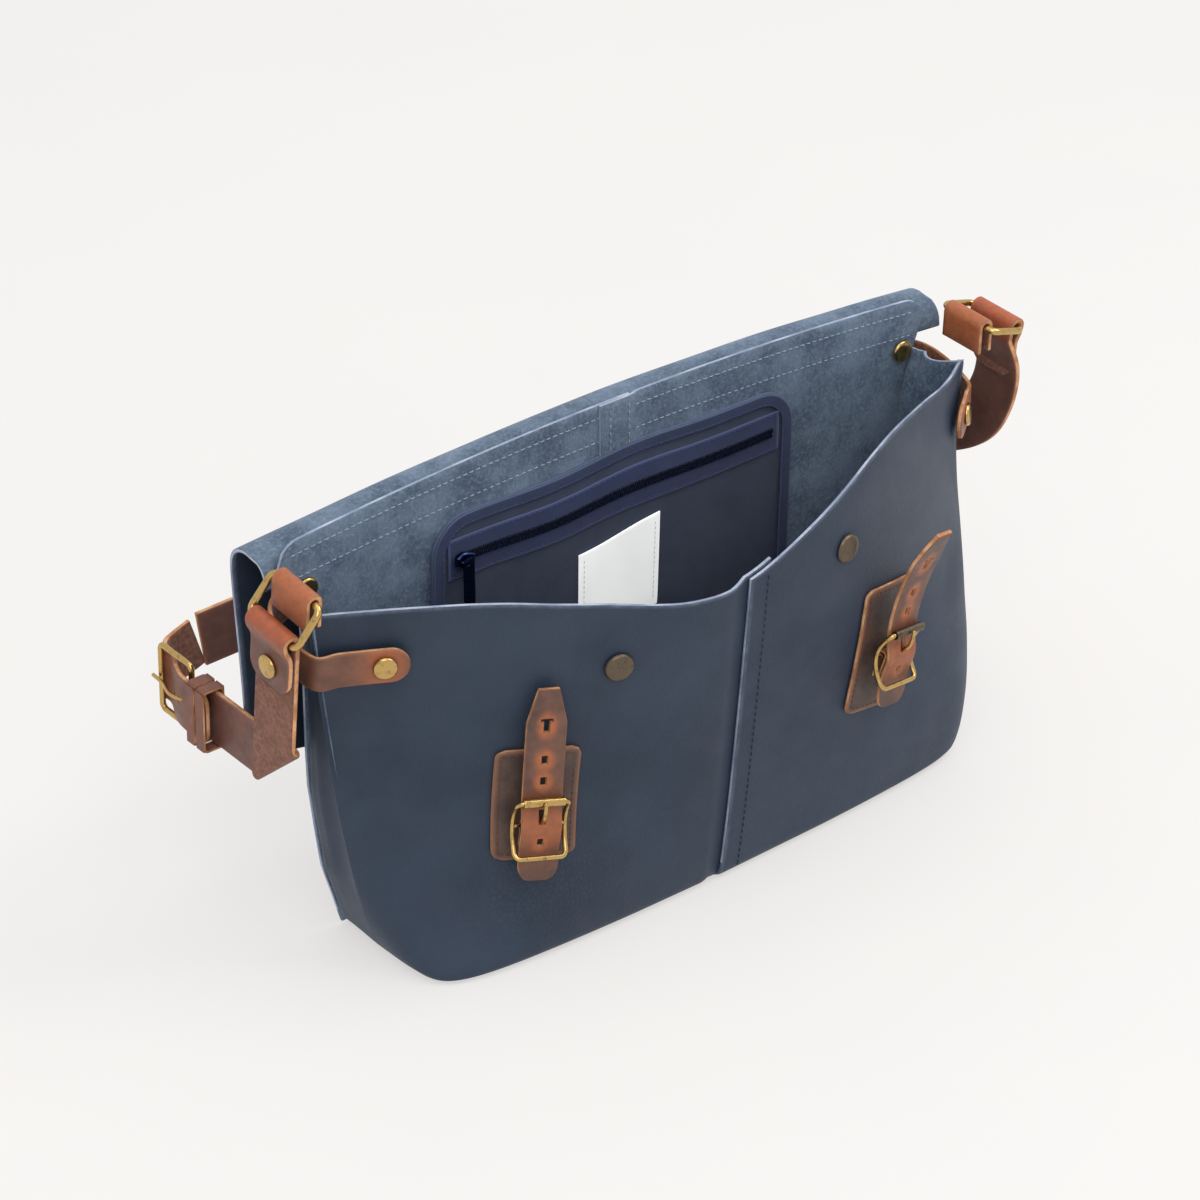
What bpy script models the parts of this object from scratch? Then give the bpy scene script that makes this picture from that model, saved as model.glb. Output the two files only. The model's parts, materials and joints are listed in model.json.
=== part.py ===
"""Leather messenger bag, open, with its flap thrown back and its shoulder strap behind it.

+X runs along the bag to its right end, -Y is the front and +Z is up. The origin is the
centre of the base, on the ground. Lengths in this script are millimetres; MM turns them
into metres when a mesh is made.
"""
import math

import bmesh
import bpy
import numpy as np
from mathutils import Vector

MM = 0.001
GAP = 0.3

# Bag body
LEATHER = 2.2
WALL_LOW = LEATHER + GAP
BASE_HALF = 170.0
MOUTH_HALF = 211.0
MOUTH_Z = 215.0
BASE_DEPTH = 59.0
MOUTH_DEPTH = 82.0
BASE_BOW = 8.0
BACK_Y_BASE = 44.0
BACK_Y_TOP = 37.0
BACK_TOP_Z = 236.0
BACK_CORNER_DROP = 8.0
MOUTH_EDGE = (
    (-211, 205), (-163, 204), (-129, 202), (-94, 195), (-75, 191), (-55, 185), (-34, 181), (-10, 181),
    (14, 190), (42, 201), (75, 211), (95, 215), (117, 215), (144, 212), (176, 204), (205, 199), (214, 203),
)
GROOVE = 9.0
LAP_X = -4.0
LAP_WIDTH = 14.0
BASE_BOARD = 2.0

# Flap
FLAP_THICK = 2.2
LIP_CORNER = 30.0
CREST_RISE = 6.0
STUD_ABOVE_END = 16.0
STUD_PROFILE = [(4.0, 0), (4.0, 0.8), (1.9, 1.1), (1.9, 2.6), (3.2, 3.4), (3.2, 4.6), (1.8, 5.6)]
FLAP_HALF = 211.0
LIP_HALF = 163.0
FLAP_AXIS = (0.0, 62.0, 240.0)
FLAP_TOP_Z = 214.0
FLAP_FOLD_Z = 92.0
LIP_END_Z = 42.0
FLAP_LEAN = 0.05
FLAP_SEWN_Z = 208.5
CREST_DROP = 11.0
CREST_SEWN_SHARE = 0.1

# Front fittings
BUCKLE_X = {"left": -114.0, "right": 92.0}
BUCKLE_TILT = {"left": math.radians(-5.5), "right": math.radians(-8.0)}
BAR_Z = {"left": 79.0, "right": 106.0}
BAR_OUT = 8.2
FRAME_HALF_H = 15.0
FRAME_HALF_W = 13.0
FRAME_BOW = 7.2
WIRE = 1.3
ROLLER_R = 2.3
ROLLER_HALF = 9.2
PRONG_R = 1.0
PATCH_HALF = 19.5
PATCH_SPAN = {"left": (-21.5, 38.0), "right": (-35.0, 35.0)}
PATCH_OUT = 2.5
CHAPE_T = 1.4
CHAPE_W = 6.0
CHAPE_SPREAD = 5.5
CHAPE_LEG = 13.0
TAB_W = 20.0
TAB_T = 2.6
TAB_OUT = 11.0
TAB_RISE = 2.6
TAB_RISE_LENGTH = 8.0
TAB_LOW = -29.0
TAB_ROUND = 9.0
TAB_CURL_FROM = 14.0
TAB_CURL = {"left": 1.0, "right": 16.0}
TAB_SHOULDER = 56.0
TAB_TIP = 74.0
TAB_TIP_SHARE = 0.52
TAB_SLOTS = ((-7.5, 5.0), (6.0, 13.5), (24.5, 6.5), (36.0, 6.5), (54.5, 9.0))
SLOT_HALF_W = 1.9
CAPS = {"left": (-74.0, 155.5), "right": (62.0, 175.5)}
CAP_R = 7.6
CAP_HEIGHT = 3.0
RIVET_R = 6.0
RIVET_HEIGHT = 2.2

# End fittings and shoulder strap
STRAP_W = 30.0
STRAP_T = 3.0
STRAP_FOLD = 78.0
FOLD_R = 3.2
SHORT_END = 31.0
RING_WIRE = 1.9
RING_H = 22.0
RING_W = 37.0
RING_CORNER = 4.0
RING_TAB_W = 27.0
RING_TAB_T = 2.6
BAND_W = 18.0
BAND_T = 2.4
BAND_OUT = 4.4
BAND_Z = {"left": 176.5, "right": 180.0}
BAND_FRONT_X = {"left": 165.0, "right": 179.0}
BAND_CORNER_X = 223.0
BAND_CORNER_Y = 47.0
BAND_BACK_Z = 198.0
BAND_BACK_X = 190.0
RIVET_X = {"left": 177.0, "right": 193.0}
BUCKLE_REACH = 78.0
END_TO_BAR = 5.0
LOOP_HALF_H = 13.0
LOOP_HALF_W = 18.5
LOOP_WIRE = 1.6
KEEPERS = (-11.0, -19.0)
KEEPER_LOW = -2.4
KEEPER_HIGH = 8.0
KEEPER_HALF_L = 3.2
KEEPER_T = 1.5
RUN_START_X = -190.0
STRAP_JOINT_GAP = 6.0
TAIL_PROFILE = ((-21, 5.6), (-12, 5.6), (-4, 5.4), (3, 4.6), (10, 2.2), (17, -1.4))
LONG_ROUTE = (
    (237, 7, 190), (237.5, 11, 170), (236, 22, 152), (230, 42, 141), (216, 66, 137), (190, 86, 136),
    (150, 98, 136), (95, 104, 136), (30, 108, 137), (-40, 113, 137), (-100, 118, 136), (-150, 123, 133),
)

# Inner pocket
POCKET_HALF = 115.0
POCKET_LOW = 62.0
POCKET_HIGH = 208.0
POCKET_T = 1.8
POCKET_CORNER = 14.0
BINDING_W = 6.0
BINDING_T = 1.0
ZIP_Z = 185.0
ZIP_HALF = 106.0
TAPE_HALF_H = 11.0
TAPE_T = 0.8
TEETH_HALF_H = 2.6
TEETH_T = 1.3
SLIDER_X = -98.0
SLIDER_HALF = (5.5, 1.4, 4.2)
PULLER_HALF_W = 3.2
PULLER_DROP = 26.0
LABEL_X = 0.0
LABEL_HALF = 26.0
LABEL_LOW = 112.0
LABEL_HIGH = 163.0
LABEL_T = 0.7

COLOURS = {
    "navy_leather": ((0.045, 0.056, 0.082), 0.55, 0.0),
    "suede": ((0.085, 0.115, 0.155), 0.95, 0.0),
    "brown_leather": ((0.20, 0.085, 0.045), 0.50, 0.0),
    "brass": ((0.42, 0.33, 0.15), 0.32, 1.0),
    "bronze": ((0.16, 0.14, 0.10), 0.35, 1.0),
    "navy_cloth": ((0.026, 0.030, 0.060), 0.85, 0.0),
    "binding": ((0.035, 0.045, 0.12), 0.80, 0.0),
    "zip_teeth": ((0.012, 0.016, 0.035), 0.40, 0.0),
    "label_cloth": ((0.82, 0.82, 0.78), 0.85, 0.0),
    "board": ((0.10, 0.08, 0.06), 0.90, 0.0),
}


def clear_scene():
    for obj in list(bpy.data.objects):
        bpy.data.objects.remove(obj, do_unlink=True)


def material(name):
    mat = bpy.data.materials.get(name)
    if mat is None:
        colour, rough, metal = COLOURS[name]
        mat = bpy.data.materials.new(name)
        mat.use_nodes = True
        shader = mat.node_tree.nodes["Principled BSDF"]
        shader.inputs["Base Color"].default_value = (*colour, 1.0)
        shader.inputs["Roughness"].default_value = rough
        shader.inputs["Metallic"].default_value = metal
    return mat


def vec(*xyz):
    return np.array(xyz, float)


def unit(v):
    v = np.asarray(v, float)
    return v / np.linalg.norm(v)


def lerp(a, b, t):
    return a + (b - a) * t


def solid(name, verts, faces, slot, pivot=(0, 0, 0)):
    """One closed body from points in millimetres, with its origin at the pivot."""
    shifted = [Vector(p) * MM for p in np.asarray(verts, float) - np.asarray(pivot, float)]
    mesh = bpy.data.meshes.new(name)
    mesh.from_pydata(shifted, [], [list(map(int, f)) for f in faces])
    shell = bmesh.new()
    shell.from_mesh(mesh)
    bmesh.ops.recalc_face_normals(shell, faces=shell.faces)
    shell.to_mesh(mesh)
    shell.free()
    mesh.shade_smooth()
    mesh.set_sharp_from_angle(angle=math.radians(40))
    mesh.materials.append(material(slot))
    obj = bpy.data.objects.new(name, mesh)
    obj.location = Vector(pivot) * MM
    bpy.context.scene.collection.objects.link(obj)
    return obj


def thick_grid(outer, inner):
    """Points and faces of a closed sheet between two grids of points."""
    outer, inner = np.asarray(outer), np.asarray(inner)
    rows, cols = outer.shape[:2]
    verts = np.concatenate([outer.reshape(-1, 3), inner.reshape(-1, 3)])
    back = rows * cols
    at = lambda i, j: i * cols + j
    faces = []
    for i in range(rows - 1):
        for j in range(cols - 1):
            quad = [at(i, j), at(i + 1, j), at(i + 1, j + 1), at(i, j + 1)]
            faces += [quad, [back + k for k in reversed(quad)]]
    rim = [at(i, 0) for i in range(rows)] + [at(rows - 1, j) for j in range(1, cols)]
    rim += [at(i, cols - 1) for i in range(rows - 2, -1, -1)] + [at(0, j) for j in range(cols - 2, 0, -1)]
    for a, b in zip(rim, rim[1:] + rim[:1]):
        faces.append([a, b, back + b, back + a])
    return verts, faces


def grid_normals(grid):
    du = np.gradient(grid, axis=0)
    dv = np.gradient(grid, axis=1)
    n = np.cross(du, dv)
    return n / np.linalg.norm(n, axis=2, keepdims=True)


def sheet(name, grid, thickness, slot, flip=False, pivot=(0, 0, 0), level_foot=False):
    """A sheet whose outer face is the grid, thickened inwards along its normals."""
    grid = np.asarray(grid, float)
    inner = grid - grid_normals(grid) * (-thickness if flip else thickness)
    if level_foot:
        inner[0, :, 2] = grid[0, :, 2]
    verts, faces = thick_grid(grid, inner)
    return solid(name, verts, faces, slot, pivot)


def ribbon(name, path, across, width, thickness, slot, pivot=(0, 0, 0), cells=1, bend=None, taper=None):
    """A flat strap: its centre line, its width directions and its thickness."""
    path = np.asarray(path, float)
    across = np.broadcast_to(np.asarray(across, float), path.shape)
    along = np.gradient(path, axis=0)
    along /= np.linalg.norm(along, axis=1, keepdims=True)
    across = across - along * np.sum(along * across, axis=1, keepdims=True)
    across = across / np.linalg.norm(across, axis=1, keepdims=True)
    normal = np.cross(along, across)
    sides = np.linspace(-0.5, 0.5, cells + 1)
    widths = np.full(len(path), width) if taper is None else np.asarray(taper, float)
    flat = path[:, None] + across[:, None] * (sides[None, :, None] * widths[:, None, None])
    outer = flat + normal[:, None] * thickness / 2
    inner = flat - normal[:, None] * thickness / 2
    if bend:
        outer, inner = bend(outer), bend(inner)
    verts, faces = thick_grid(outer, inner)
    return solid(name, verts, faces, slot, pivot)


def fold_over(points, start, heading, side, radius, angle):
    """Bend what lies past a line, heading away from it, round towards a side."""
    shape = points.shape
    pts = points.reshape(-1, 3)
    past = np.clip((pts - start) @ heading, 0, radius * angle)
    turn = past / radius
    centre = start + side * radius
    rel = pts - past[:, None] * heading - centre
    a, b = rel @ heading, rel @ side
    flat = rel - a[:, None] * heading - b[:, None] * side
    cos, sin = np.cos(turn), np.sin(turn)
    out = flat + (a * cos - b * sin)[:, None] * heading + (a * sin + b * cos)[:, None] * side
    return (out + centre).reshape(shape)


def basis(normal):
    n = unit(normal)
    u = unit(np.cross(n, vec(0, 0, 1) if abs(n[2]) < 0.9 else vec(1, 0, 0)))
    return u, np.cross(n, u), n


def turned(name, centre, axis, profile, slot, pivot=(0, 0, 0), sides=20):
    """A round solid: its profile is (radius, height) from its foot to its top."""
    u, v, n = basis(axis)
    centre = np.asarray(centre, float)
    verts, faces = [], []
    rings = [p for p in profile if p[0] > 0]
    for radius, height in rings:
        for k in range(sides):
            a = 2 * math.pi * k / sides
            verts.append(centre + radius * (math.cos(a) * u + math.sin(a) * v) + height * n)
    for i in range(len(rings) - 1):
        for k in range(sides):
            m = (k + 1) % sides
            faces.append([i * sides + k, i * sides + m, (i + 1) * sides + m, (i + 1) * sides + k])
    faces.append(list(range(sides - 1, -1, -1)))
    faces.append([(len(rings) - 1) * sides + k for k in range(sides)])
    return solid(name, verts, faces, slot, pivot)


def rivet(name, centre, axis, radius=RIVET_R, height=RIVET_HEIGHT, slot="brass"):
    profile = [(radius * 0.9, 0), (radius, 0.5), (radius * 0.93, height * 0.6), (radius * 0.55, height)]
    return turned(name, centre, axis, profile, slot, sides=18)


def tube_mesh(path, radius, closed, sides=8):
    path = np.asarray(path, float)
    count = len(path)
    verts, faces = [], []
    across = None
    for i, p in enumerate(path):
        ahead = path[(i + 1) % count] if closed or i < count - 1 else p
        behind = path[i - 1] if closed or i > 0 else p
        along = unit(ahead - behind)
        if across is None:
            across = basis(along)[0]
        across = unit(across - along * (along @ across))
        other = np.cross(along, across)
        for k in range(sides):
            a = 2 * math.pi * k / sides
            verts.append(p + radius * (math.cos(a) * across + math.sin(a) * other))
    shift = 0
    if closed:
        first = np.array(verts[:sides])
        last = np.array(verts[-sides:])
        shift = min(range(sides), key=lambda s: np.linalg.norm(np.roll(first, -s, axis=0) - last))
    for i in range(count if closed else count - 1):
        nxt = (i + 1) % count
        roll = shift if nxt == 0 else 0
        for k in range(sides):
            m = (k + 1) % sides
            a, b = nxt * sides + (k + roll) % sides, nxt * sides + (m + roll) % sides
            faces.append([i * sides + k, i * sides + m, b, a])
    if not closed:
        faces.append(list(range(sides)))
        faces.append([(count - 1) * sides + k for k in range(sides)])
    return verts, faces


def tube(name, path, radius, slot, closed=False, sides=8, pivot=(0, 0, 0)):
    verts, faces = tube_mesh(path, radius, closed, sides)
    return solid(name, verts, faces, slot, pivot)


def rounded_loop(half_u, half_v, corner, steps=4):
    """Points (u, v) round a rectangle with rounded corners."""
    pts = []
    for k, (su, sv) in enumerate([(1, 1), (-1, 1), (-1, -1), (1, -1)]):
        for i in range(steps + 1):
            a = math.pi / 2 * (k + i / steps)
            centre = (su * (half_u - corner), sv * (half_v - corner))
            pts.append((centre[0] + corner * math.cos(a), centre[1] + corner * math.sin(a)))
    return pts


# Body surface --------------------------------------------------------------

def section(z, count, right=False):
    """The left half of the front and end wall at a height, front centre to end groove.

    With right it is the right half, mirrored: that half stays fuller at its middle heights.
    """
    w = min(max(z / MOUTH_Z, 0.0), 1.05)
    half = lerp(BASE_HALF, MOUTH_HALF, min(w, 1.0) ** 0.55)
    centre = lerp(6, 4, w)
    depth = lerp(BASE_DEPTH, MOUTH_DEPTH, w ** 0.8)
    phi = np.linspace(0, math.pi / 2, 200)
    rounding = min(w, 1.0) ** 1.3 if right else 1 - (1 - min(w, 1.0)) ** 3.5
    x = -half * np.sin(phi) ** lerp(0.17, 1.07, rounding)
    bow = lerp(BASE_BOW, 0, min(w, 1.0))
    y = centre - (depth - bow * (x / half) ** 2) * np.cos(phi) ** lerp(0.20, 2.4, rounding)
    run = np.r_[0, np.cumsum(np.hypot(np.diff(x), np.diff(y)))]
    t = np.linspace(0, run[-1], count)
    return np.stack([np.interp(t, run, x), np.interp(t, run, y)], 1)


def mouth_z(x):
    """Height of the front's raw edge, which sags near the middle and at its right end."""
    spread = x + np.linspace(-14, 14, 7)
    return float(np.interp(spread, *zip(*MOUTH_EDGE)).mean())


def front_y(x, z):
    pts = section(z, 120, x > 0)
    return float(np.interp(-abs(x), pts[::-1, 0], pts[::-1, 1]))


def front_frame(x, z):
    """Point, outward normal, sideways and upward directions of the front's face."""
    p = vec(x, front_y(x, z), z)
    dx = unit(vec(8, front_y(x + 4, z) - front_y(x - 4, z), 0))
    dz = unit(vec(0, front_y(x, z + 8) - front_y(x, z - 8), 16))
    n = unit(np.cross(dx, dz))
    return p, n, dx, unit(np.cross(n, dx))


def back_half(z):
    return float(np.interp(z, [0, 40, 90, 180, 215, 240], [172, 184, 191, 193, 203, 208]))


def back_y(x, z):
    return lerp(BACK_Y_BASE, BACK_Y_TOP, min(z / MOUTH_Z, 1.0)) - 4 * (x / MOUTH_HALF) ** 2


def body():
    rows, cols = 9, 9
    front_half = lambda z: 0.86 * abs(section(z, 60)[-1, 0])
    seam_columns = {"left": (LAP_X + LAP_WIDTH, LAP_X - 1.5), "right": (LAP_X, LAP_X + 8)}
    seam_ends = {"left": LAP_X - 8, "right": LAP_X + LAP_WIDTH + 8}
    for side, name in ((-1, "left"), (1, "right")):
        grid = np.zeros((rows, cols + 2, 3))
        for i in range(rows):
            edge = side * front_half(mouth_z(side * MOUTH_HALF) * i / (rows - 1))
            columns = [*seam_columns[name], *np.linspace(seam_ends[name], edge, cols)]
            for j, x in enumerate(columns):
                z = lerp(WALL_LOW, mouth_z(x), i / (rows - 1))
                under = LEATHER + GAP if side < 0 and j < 2 else 0.0
                grid[i, j] = (x, front_y(x, z) + under, z)
        sheet(f"front_panel_{name}", grid, LEATHER, "navy_leather", flip=side > 0, level_foot=True)
    for side, name in ((-1, "left"), (1, "right")):
        grid = np.zeros((rows, 9, 3))
        for i in range(rows):
            z = lerp(WALL_LOW, mouth_z(side * MOUTH_HALF) - 1, i / (rows - 1))
            pts = section(z, 200, side > 0)
            keep = pts[pts[:, 0] < -front_half(z) - GAP / 2 - 0.2]
            pick = keep[np.linspace(0, len(keep) - 1, 6).astype(int)]
            half, y_end = back_half(z), back_y(MOUTH_HALF, z)
            groove = (min(-pick[-1, 0], half) - GROOVE * z / MOUTH_Z, lerp(pick[-1, 1], y_end, 0.35))
            tail = [groove, (half - 1, lerp(pick[-1, 1], y_end, 0.75)), (half, y_end - LEATHER - 2 * GAP)]
            xs = np.r_[-pick[:, 0], [p[0] for p in tail]]
            ys = np.r_[pick[:, 1], [p[1] for p in tail]]
            grid[i] = np.stack([side * xs, ys, np.full(9, z)], 1)
        sheet(f"end_panel_{name}", grid, LEATHER, "navy_leather", flip=side > 0, level_foot=True)
    for side, name in ((-1, "left"), (1, "right")):
        grid = np.zeros((rows, cols, 3))
        for i in range(rows):
            for j in range(cols):
                t = i / (rows - 1)
                z = lerp(WALL_LOW, BACK_TOP_Z, t)
                x = lerp(GAP / 2, back_half(z), j / (cols - 1))
                z = lerp(WALL_LOW, BACK_TOP_Z - BACK_CORNER_DROP * (x / MOUTH_HALF) ** 2, t)
                grid[i, j] = (side * x, back_y(x, z), z)
        sheet(f"back_panel_{name}", grid, LEATHER, "navy_leather", flip=side < 0)
    half = [(x, y) for x, y in section(0, 26) if y < 0]
    half += [(-BASE_HALF - 1, 0), (-back_half(0), back_y(BASE_HALF, 0)), (0, back_y(0, 0))]
    loop = half + [(-x, y) for x, y in reversed(half[1:-1])]
    prism("base_panel", loop, 0.0, LEATHER, "navy_leather")
    middle = (BACK_Y_BASE - BASE_DEPTH) / 2
    small = [(x * 0.94, middle + (y - middle) * 0.82) for x, y in loop]
    prism("base_board", small, LEATHER + GAP, LEATHER + GAP + BASE_BOARD, "board")


def prism(name, loop, z_low, z_high, slot):
    count = len(loop)
    verts = [(x, y, z_low) for x, y in loop] + [(x, y, z_high) for x, y in loop]
    faces = [list(range(count))[::-1], [count + k for k in range(count)]]
    for k in range(count):
        m = (k + 1) % count
        faces.append([k, m, count + m, count + k])
    return solid(name, verts, faces, slot)


# Flap ------------------------------------------------------------------------

def flap_y(z):
    return FLAP_AXIS[1] - FLAP_LEAN * (FLAP_TOP_Z - z)


def crest_drop(x):
    """How far the crest droops towards the flap's two ends."""
    return CREST_DROP * (x / FLAP_HALF) ** 2


def flap():
    fold = (0.0, flap_y(FLAP_FOLD_Z) + FLAP_THICK / 2 + GAP, FLAP_FOLD_Z)
    sewn_y = BACK_Y_TOP + GAP
    crest_y = (sewn_y + FLAP_THICK / 2 + FLAP_AXIS[1]) / 2
    crest_z = FLAP_TOP_Z + GAP
    arc = np.linspace(math.pi, 0, 11)
    path = [(FLAP_SEWN_Z, sewn_y + FLAP_THICK / 2)]
    radius = FLAP_AXIS[1] - crest_y
    path += [(crest_z + CREST_RISE + radius * math.sin(a), crest_y + radius * math.cos(a)) for a in arc]
    path.append((crest_z, FLAP_AXIS[1]))
    for side, name in ((-1, "left"), (1, "right")):
        xs = np.linspace(GAP / 2, FLAP_HALF, 9) * side
        droop = [CREST_SEWN_SHARE] + [1.0] * (len(path) - 1)
        grid = np.array([[(x, y, z - crest_drop(x) * d) for x in xs] for (z, y), d in zip(path, droop)])
        normal = grid_normals(grid)
        verts, faces = thick_grid(grid + normal * FLAP_THICK / 2, grid - normal * FLAP_THICK / 2)
        solid(f"flap_crest_{name}", verts, faces, "suede")
        grid = []
        for t in np.linspace(0, 1, 6):
            zs = lerp(FLAP_TOP_Z - GAP - crest_drop(xs), FLAP_FOLD_Z + GAP, t)
            grid.append([(x, flap_y(z), z) for x, z in zip(xs, zs)])
        sheet(f"flap_top_{name}", np.array(grid) + vec(0, FLAP_THICK / 2, 0), FLAP_THICK, "navy_leather",
              flip=side > 0, pivot=FLAP_AXIS)
        rows = []
        for z in np.linspace(FLAP_FOLD_Z - GAP, LIP_END_Z, 9):
            drop = max(0.0, LIP_CORNER - (z - LIP_END_Z))
            half = LIP_HALF - LIP_CORNER + math.sqrt(max(LIP_CORNER ** 2 - drop ** 2, 0.0)) + 0.02
            rows.append([(x * side, flap_y(z), z) for x in np.linspace(GAP / 2, half, 8)])
        sheet(f"flap_lip_{name}", np.array(rows) + vec(0, FLAP_THICK / 2, 0), FLAP_THICK, "navy_leather",
              flip=side > 0, pivot=fold)
    for name, x in BUCKLE_X.items():
        z = LIP_END_Z + STUD_ABOVE_END
        at = vec(x, flap_y(z) - FLAP_THICK / 2 - GAP, z)
        turned(f"flap_stud_{name}", at, (0, -1, 0), STUD_PROFILE, "brass", pivot=fold, sides=14)


# Front fittings ---------------------------------------------------------------

def front_point(x, z, out):
    p, n, _, _ = front_frame(x, z)
    return p + n * out


def snaps():
    for name, (x, z) in CAPS.items():
        p, n, _, _ = front_frame(x, z)
        rivet(f"snap_cap_{name}", p + n * GAP, n, CAP_R, CAP_HEIGHT, "bronze")
        rivet(f"snap_socket_{name}", p - n * (LEATHER + GAP), -n, CAP_R * 0.8, CAP_HEIGHT, "brass")


def local(frame, side, up, out):
    p, n, dx, dz = frame
    return p + dx * side + dz * up + n * out


def buckle_ring(frame, half_w, half_h, base, bow, corner=3.0):
    """Centre line of a buckle's frame, bowed so that its two ends stand proud of its middle."""
    ring = []
    loop = rounded_loop(half_w, half_h, corner, 3)
    for (u, v), (next_u, next_v) in zip(loop, loop[1:] + loop[:1]):
        steps = 6 if abs(next_v - v) > half_h else 1
        for k in range(steps):
            up = lerp(v, next_v, k / steps)
            side = lerp(u, next_u, k / steps)
            ring.append(local(frame, side, up, base + bow * (up / half_h) ** 2))
    return ring


def buckle_frame(name, frame, half_w, half_h, base, bow):
    """A wire frame joined to its centre bar; its origin is on the bar."""
    pivot = local(frame, 0, 0, base)
    path = buckle_ring(frame, half_w, half_h, base, bow)
    ring = tube(name, path, WIRE, "brass", closed=True, pivot=pivot)
    ends = [local(frame, side, 0, base) for side in (-half_w, half_w)]
    bar = tube(f"{name}_bar", ends, WIRE * 0.93, "brass", pivot=pivot)
    bar.hide_render = True
    bar.display_type = "WIRE"
    join = ring.modifiers.new("centre_bar", "BOOLEAN")
    join.operation = "UNION"
    join.object = bar
    return pivot


def prong(name, frame, half_h, base, bow, tip_radius):
    """A hook open round the centre bar, whose shank runs out through the strap to the roller."""
    hook = WIRE + GAP + PRONG_R
    pivot = local(frame, 0, 0, base)
    path = []
    for a in np.linspace(math.radians(-35), math.radians(200), 9):
        path.append(local(frame, 0, -hook * math.sin(a), base - hook * math.cos(a)))
    rest_out = base + bow + tip_radius + GAP + PRONG_R
    path.append(local(frame, 0, 3.4, base + hook + 3.4))
    path.append(local(frame, 0, 7.5, rest_out - 1.2))
    path.append(local(frame, 0, half_h - 3.0, rest_out))
    path.append(local(frame, 0, half_h + 1.6, rest_out))
    tube(name, path, PRONG_R, "brass", sides=8, pivot=pivot)


def slot_cutter(name, frame, up, out, length, pivot):
    """An oblong cutter for one slot of a tab, long upwards."""
    verts, faces = [], []
    loop = rounded_loop(SLOT_HALF_W, length / 2, SLOT_HALF_W * 0.95, 2)
    for depth in (-6.0, 6.0):
        verts += [local(frame, u, up + v, out + depth) for u, v in loop]
    count = len(loop)
    faces = [list(range(count)), [count + k for k in range(count)]]
    for k in range(count):
        m = (k + 1) % count
        faces.append([k, m, count + m, count + k])
    cutter = solid(name, verts, faces, "brown_leather", pivot=pivot)
    cutter.hide_render = True
    cutter.display_type = "WIRE"
    return cutter


def hardware_frame(name):
    """The front's frame at a buckle's bar, turned about its outward direction by the tilt."""
    p, n, dx, dz = front_frame(BUCKLE_X[name], BAR_Z[name])
    cos, sin = math.cos(BUCKLE_TILT[name]), math.sin(BUCKLE_TILT[name])
    return p, n, dx * cos + dz * sin, dz * cos - dx * sin


def closing_buckle(name):
    metal = hardware_frame(name)
    cos, sin = math.cos(BUCKLE_TILT[name]), math.sin(BUCKLE_TILT[name])
    grid = []
    for up in np.linspace(*PATCH_SPAN[name], 7):
        row = []
        for side in np.linspace(-PATCH_HALF, PATCH_HALF, 7):
            x, z = BUCKLE_X[name] + side * cos - up * sin, BAR_Z[name] + up * cos + side * sin
            row.append(front_point(x, z, PATCH_OUT))
        grid.append(row)
    sheet(f"patch_{name}", grid, PATCH_OUT - GAP, "brown_leather", flip=True)
    wrap = WIRE + GAP + CHAPE_T / 2
    side_view = [(-CHAPE_LEG, BAR_OUT - wrap - 1.2)]
    side_view += [(wrap * math.sin(a), BAR_OUT - wrap * math.cos(a)) for a in np.linspace(0, math.pi, 9)]
    side_view += [(-CHAPE_LEG - 1.5, BAR_OUT + wrap - 2.8)]
    for part, offset in (("a", -CHAPE_SPREAD), ("b", CHAPE_SPREAD)):
        path = [local(metal, offset, up, out) for up, out in side_view]
        ribbon(f"chape_{name}_{part}", path, metal[2], CHAPE_W, CHAPE_T, "brown_leather")
    pivot = buckle_frame(f"frame_{name}", metal, FRAME_HALF_W, FRAME_HALF_H, BAR_OUT, FRAME_BOW)
    top = local(metal, 0, FRAME_HALF_H, BAR_OUT + FRAME_BOW)
    roller(f"roller_{name}", top, metal[2], ROLLER_HALF, WIRE + GAP, ROLLER_R)
    prong(f"prong_{name}", metal, FRAME_HALF_H, BAR_OUT, FRAME_BOW, ROLLER_R)
    tab = closing_tab(name, metal, pivot)
    for k, (up, length) in enumerate(TAB_SLOTS):
        out = TAB_OUT + tab_curl(name, up)
        cut = tab.modifiers.new(f"slot_{k}", "BOOLEAN")
        cut.operation = "DIFFERENCE"
        cut.object = slot_cutter(f"tab_{name}_slot_{k}", metal, up, out, length, pivot)


def tab_curl(name, up):
    """How far a tab's free end has curled outwards at a height above the centre bar."""
    return TAB_CURL[name] * (max(0.0, up - TAB_CURL_FROM) / (TAB_TIP - TAB_CURL_FROM)) ** 2


def closing_tab(name, frame, pivot):
    """The tab: a round lower end, a rise over the centre bar and a pointed free end."""
    path, widths = [], []
    low_end = [TAB_LOW, TAB_LOW + 2, TAB_LOW + 5]
    for up in [*low_end, *range(-18, 25, 6), 32, 40, 48, TAB_SHOULDER, 60, 66, TAB_TIP]:
        out = TAB_OUT + TAB_RISE * math.exp(-((up / TAB_RISE_LENGTH) ** 2)) + tab_curl(name, up)
        path.append(local(frame, 0, up, out))
        below = max(0.0, TAB_LOW + TAB_ROUND - 1 - up) / TAB_ROUND
        width = TAB_W * math.sqrt(max(0.2, 1 - below ** 2))
        if up >= TAB_SHOULDER:
            width = TAB_W * lerp(1, TAB_TIP_SHARE, (up - TAB_SHOULDER) / (TAB_TIP - TAB_SHOULDER))
        widths.append(width)
    return ribbon(f"tab_{name}", path, frame[2], TAB_W, TAB_T, "brown_leather", pivot=pivot, taper=widths)


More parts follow.
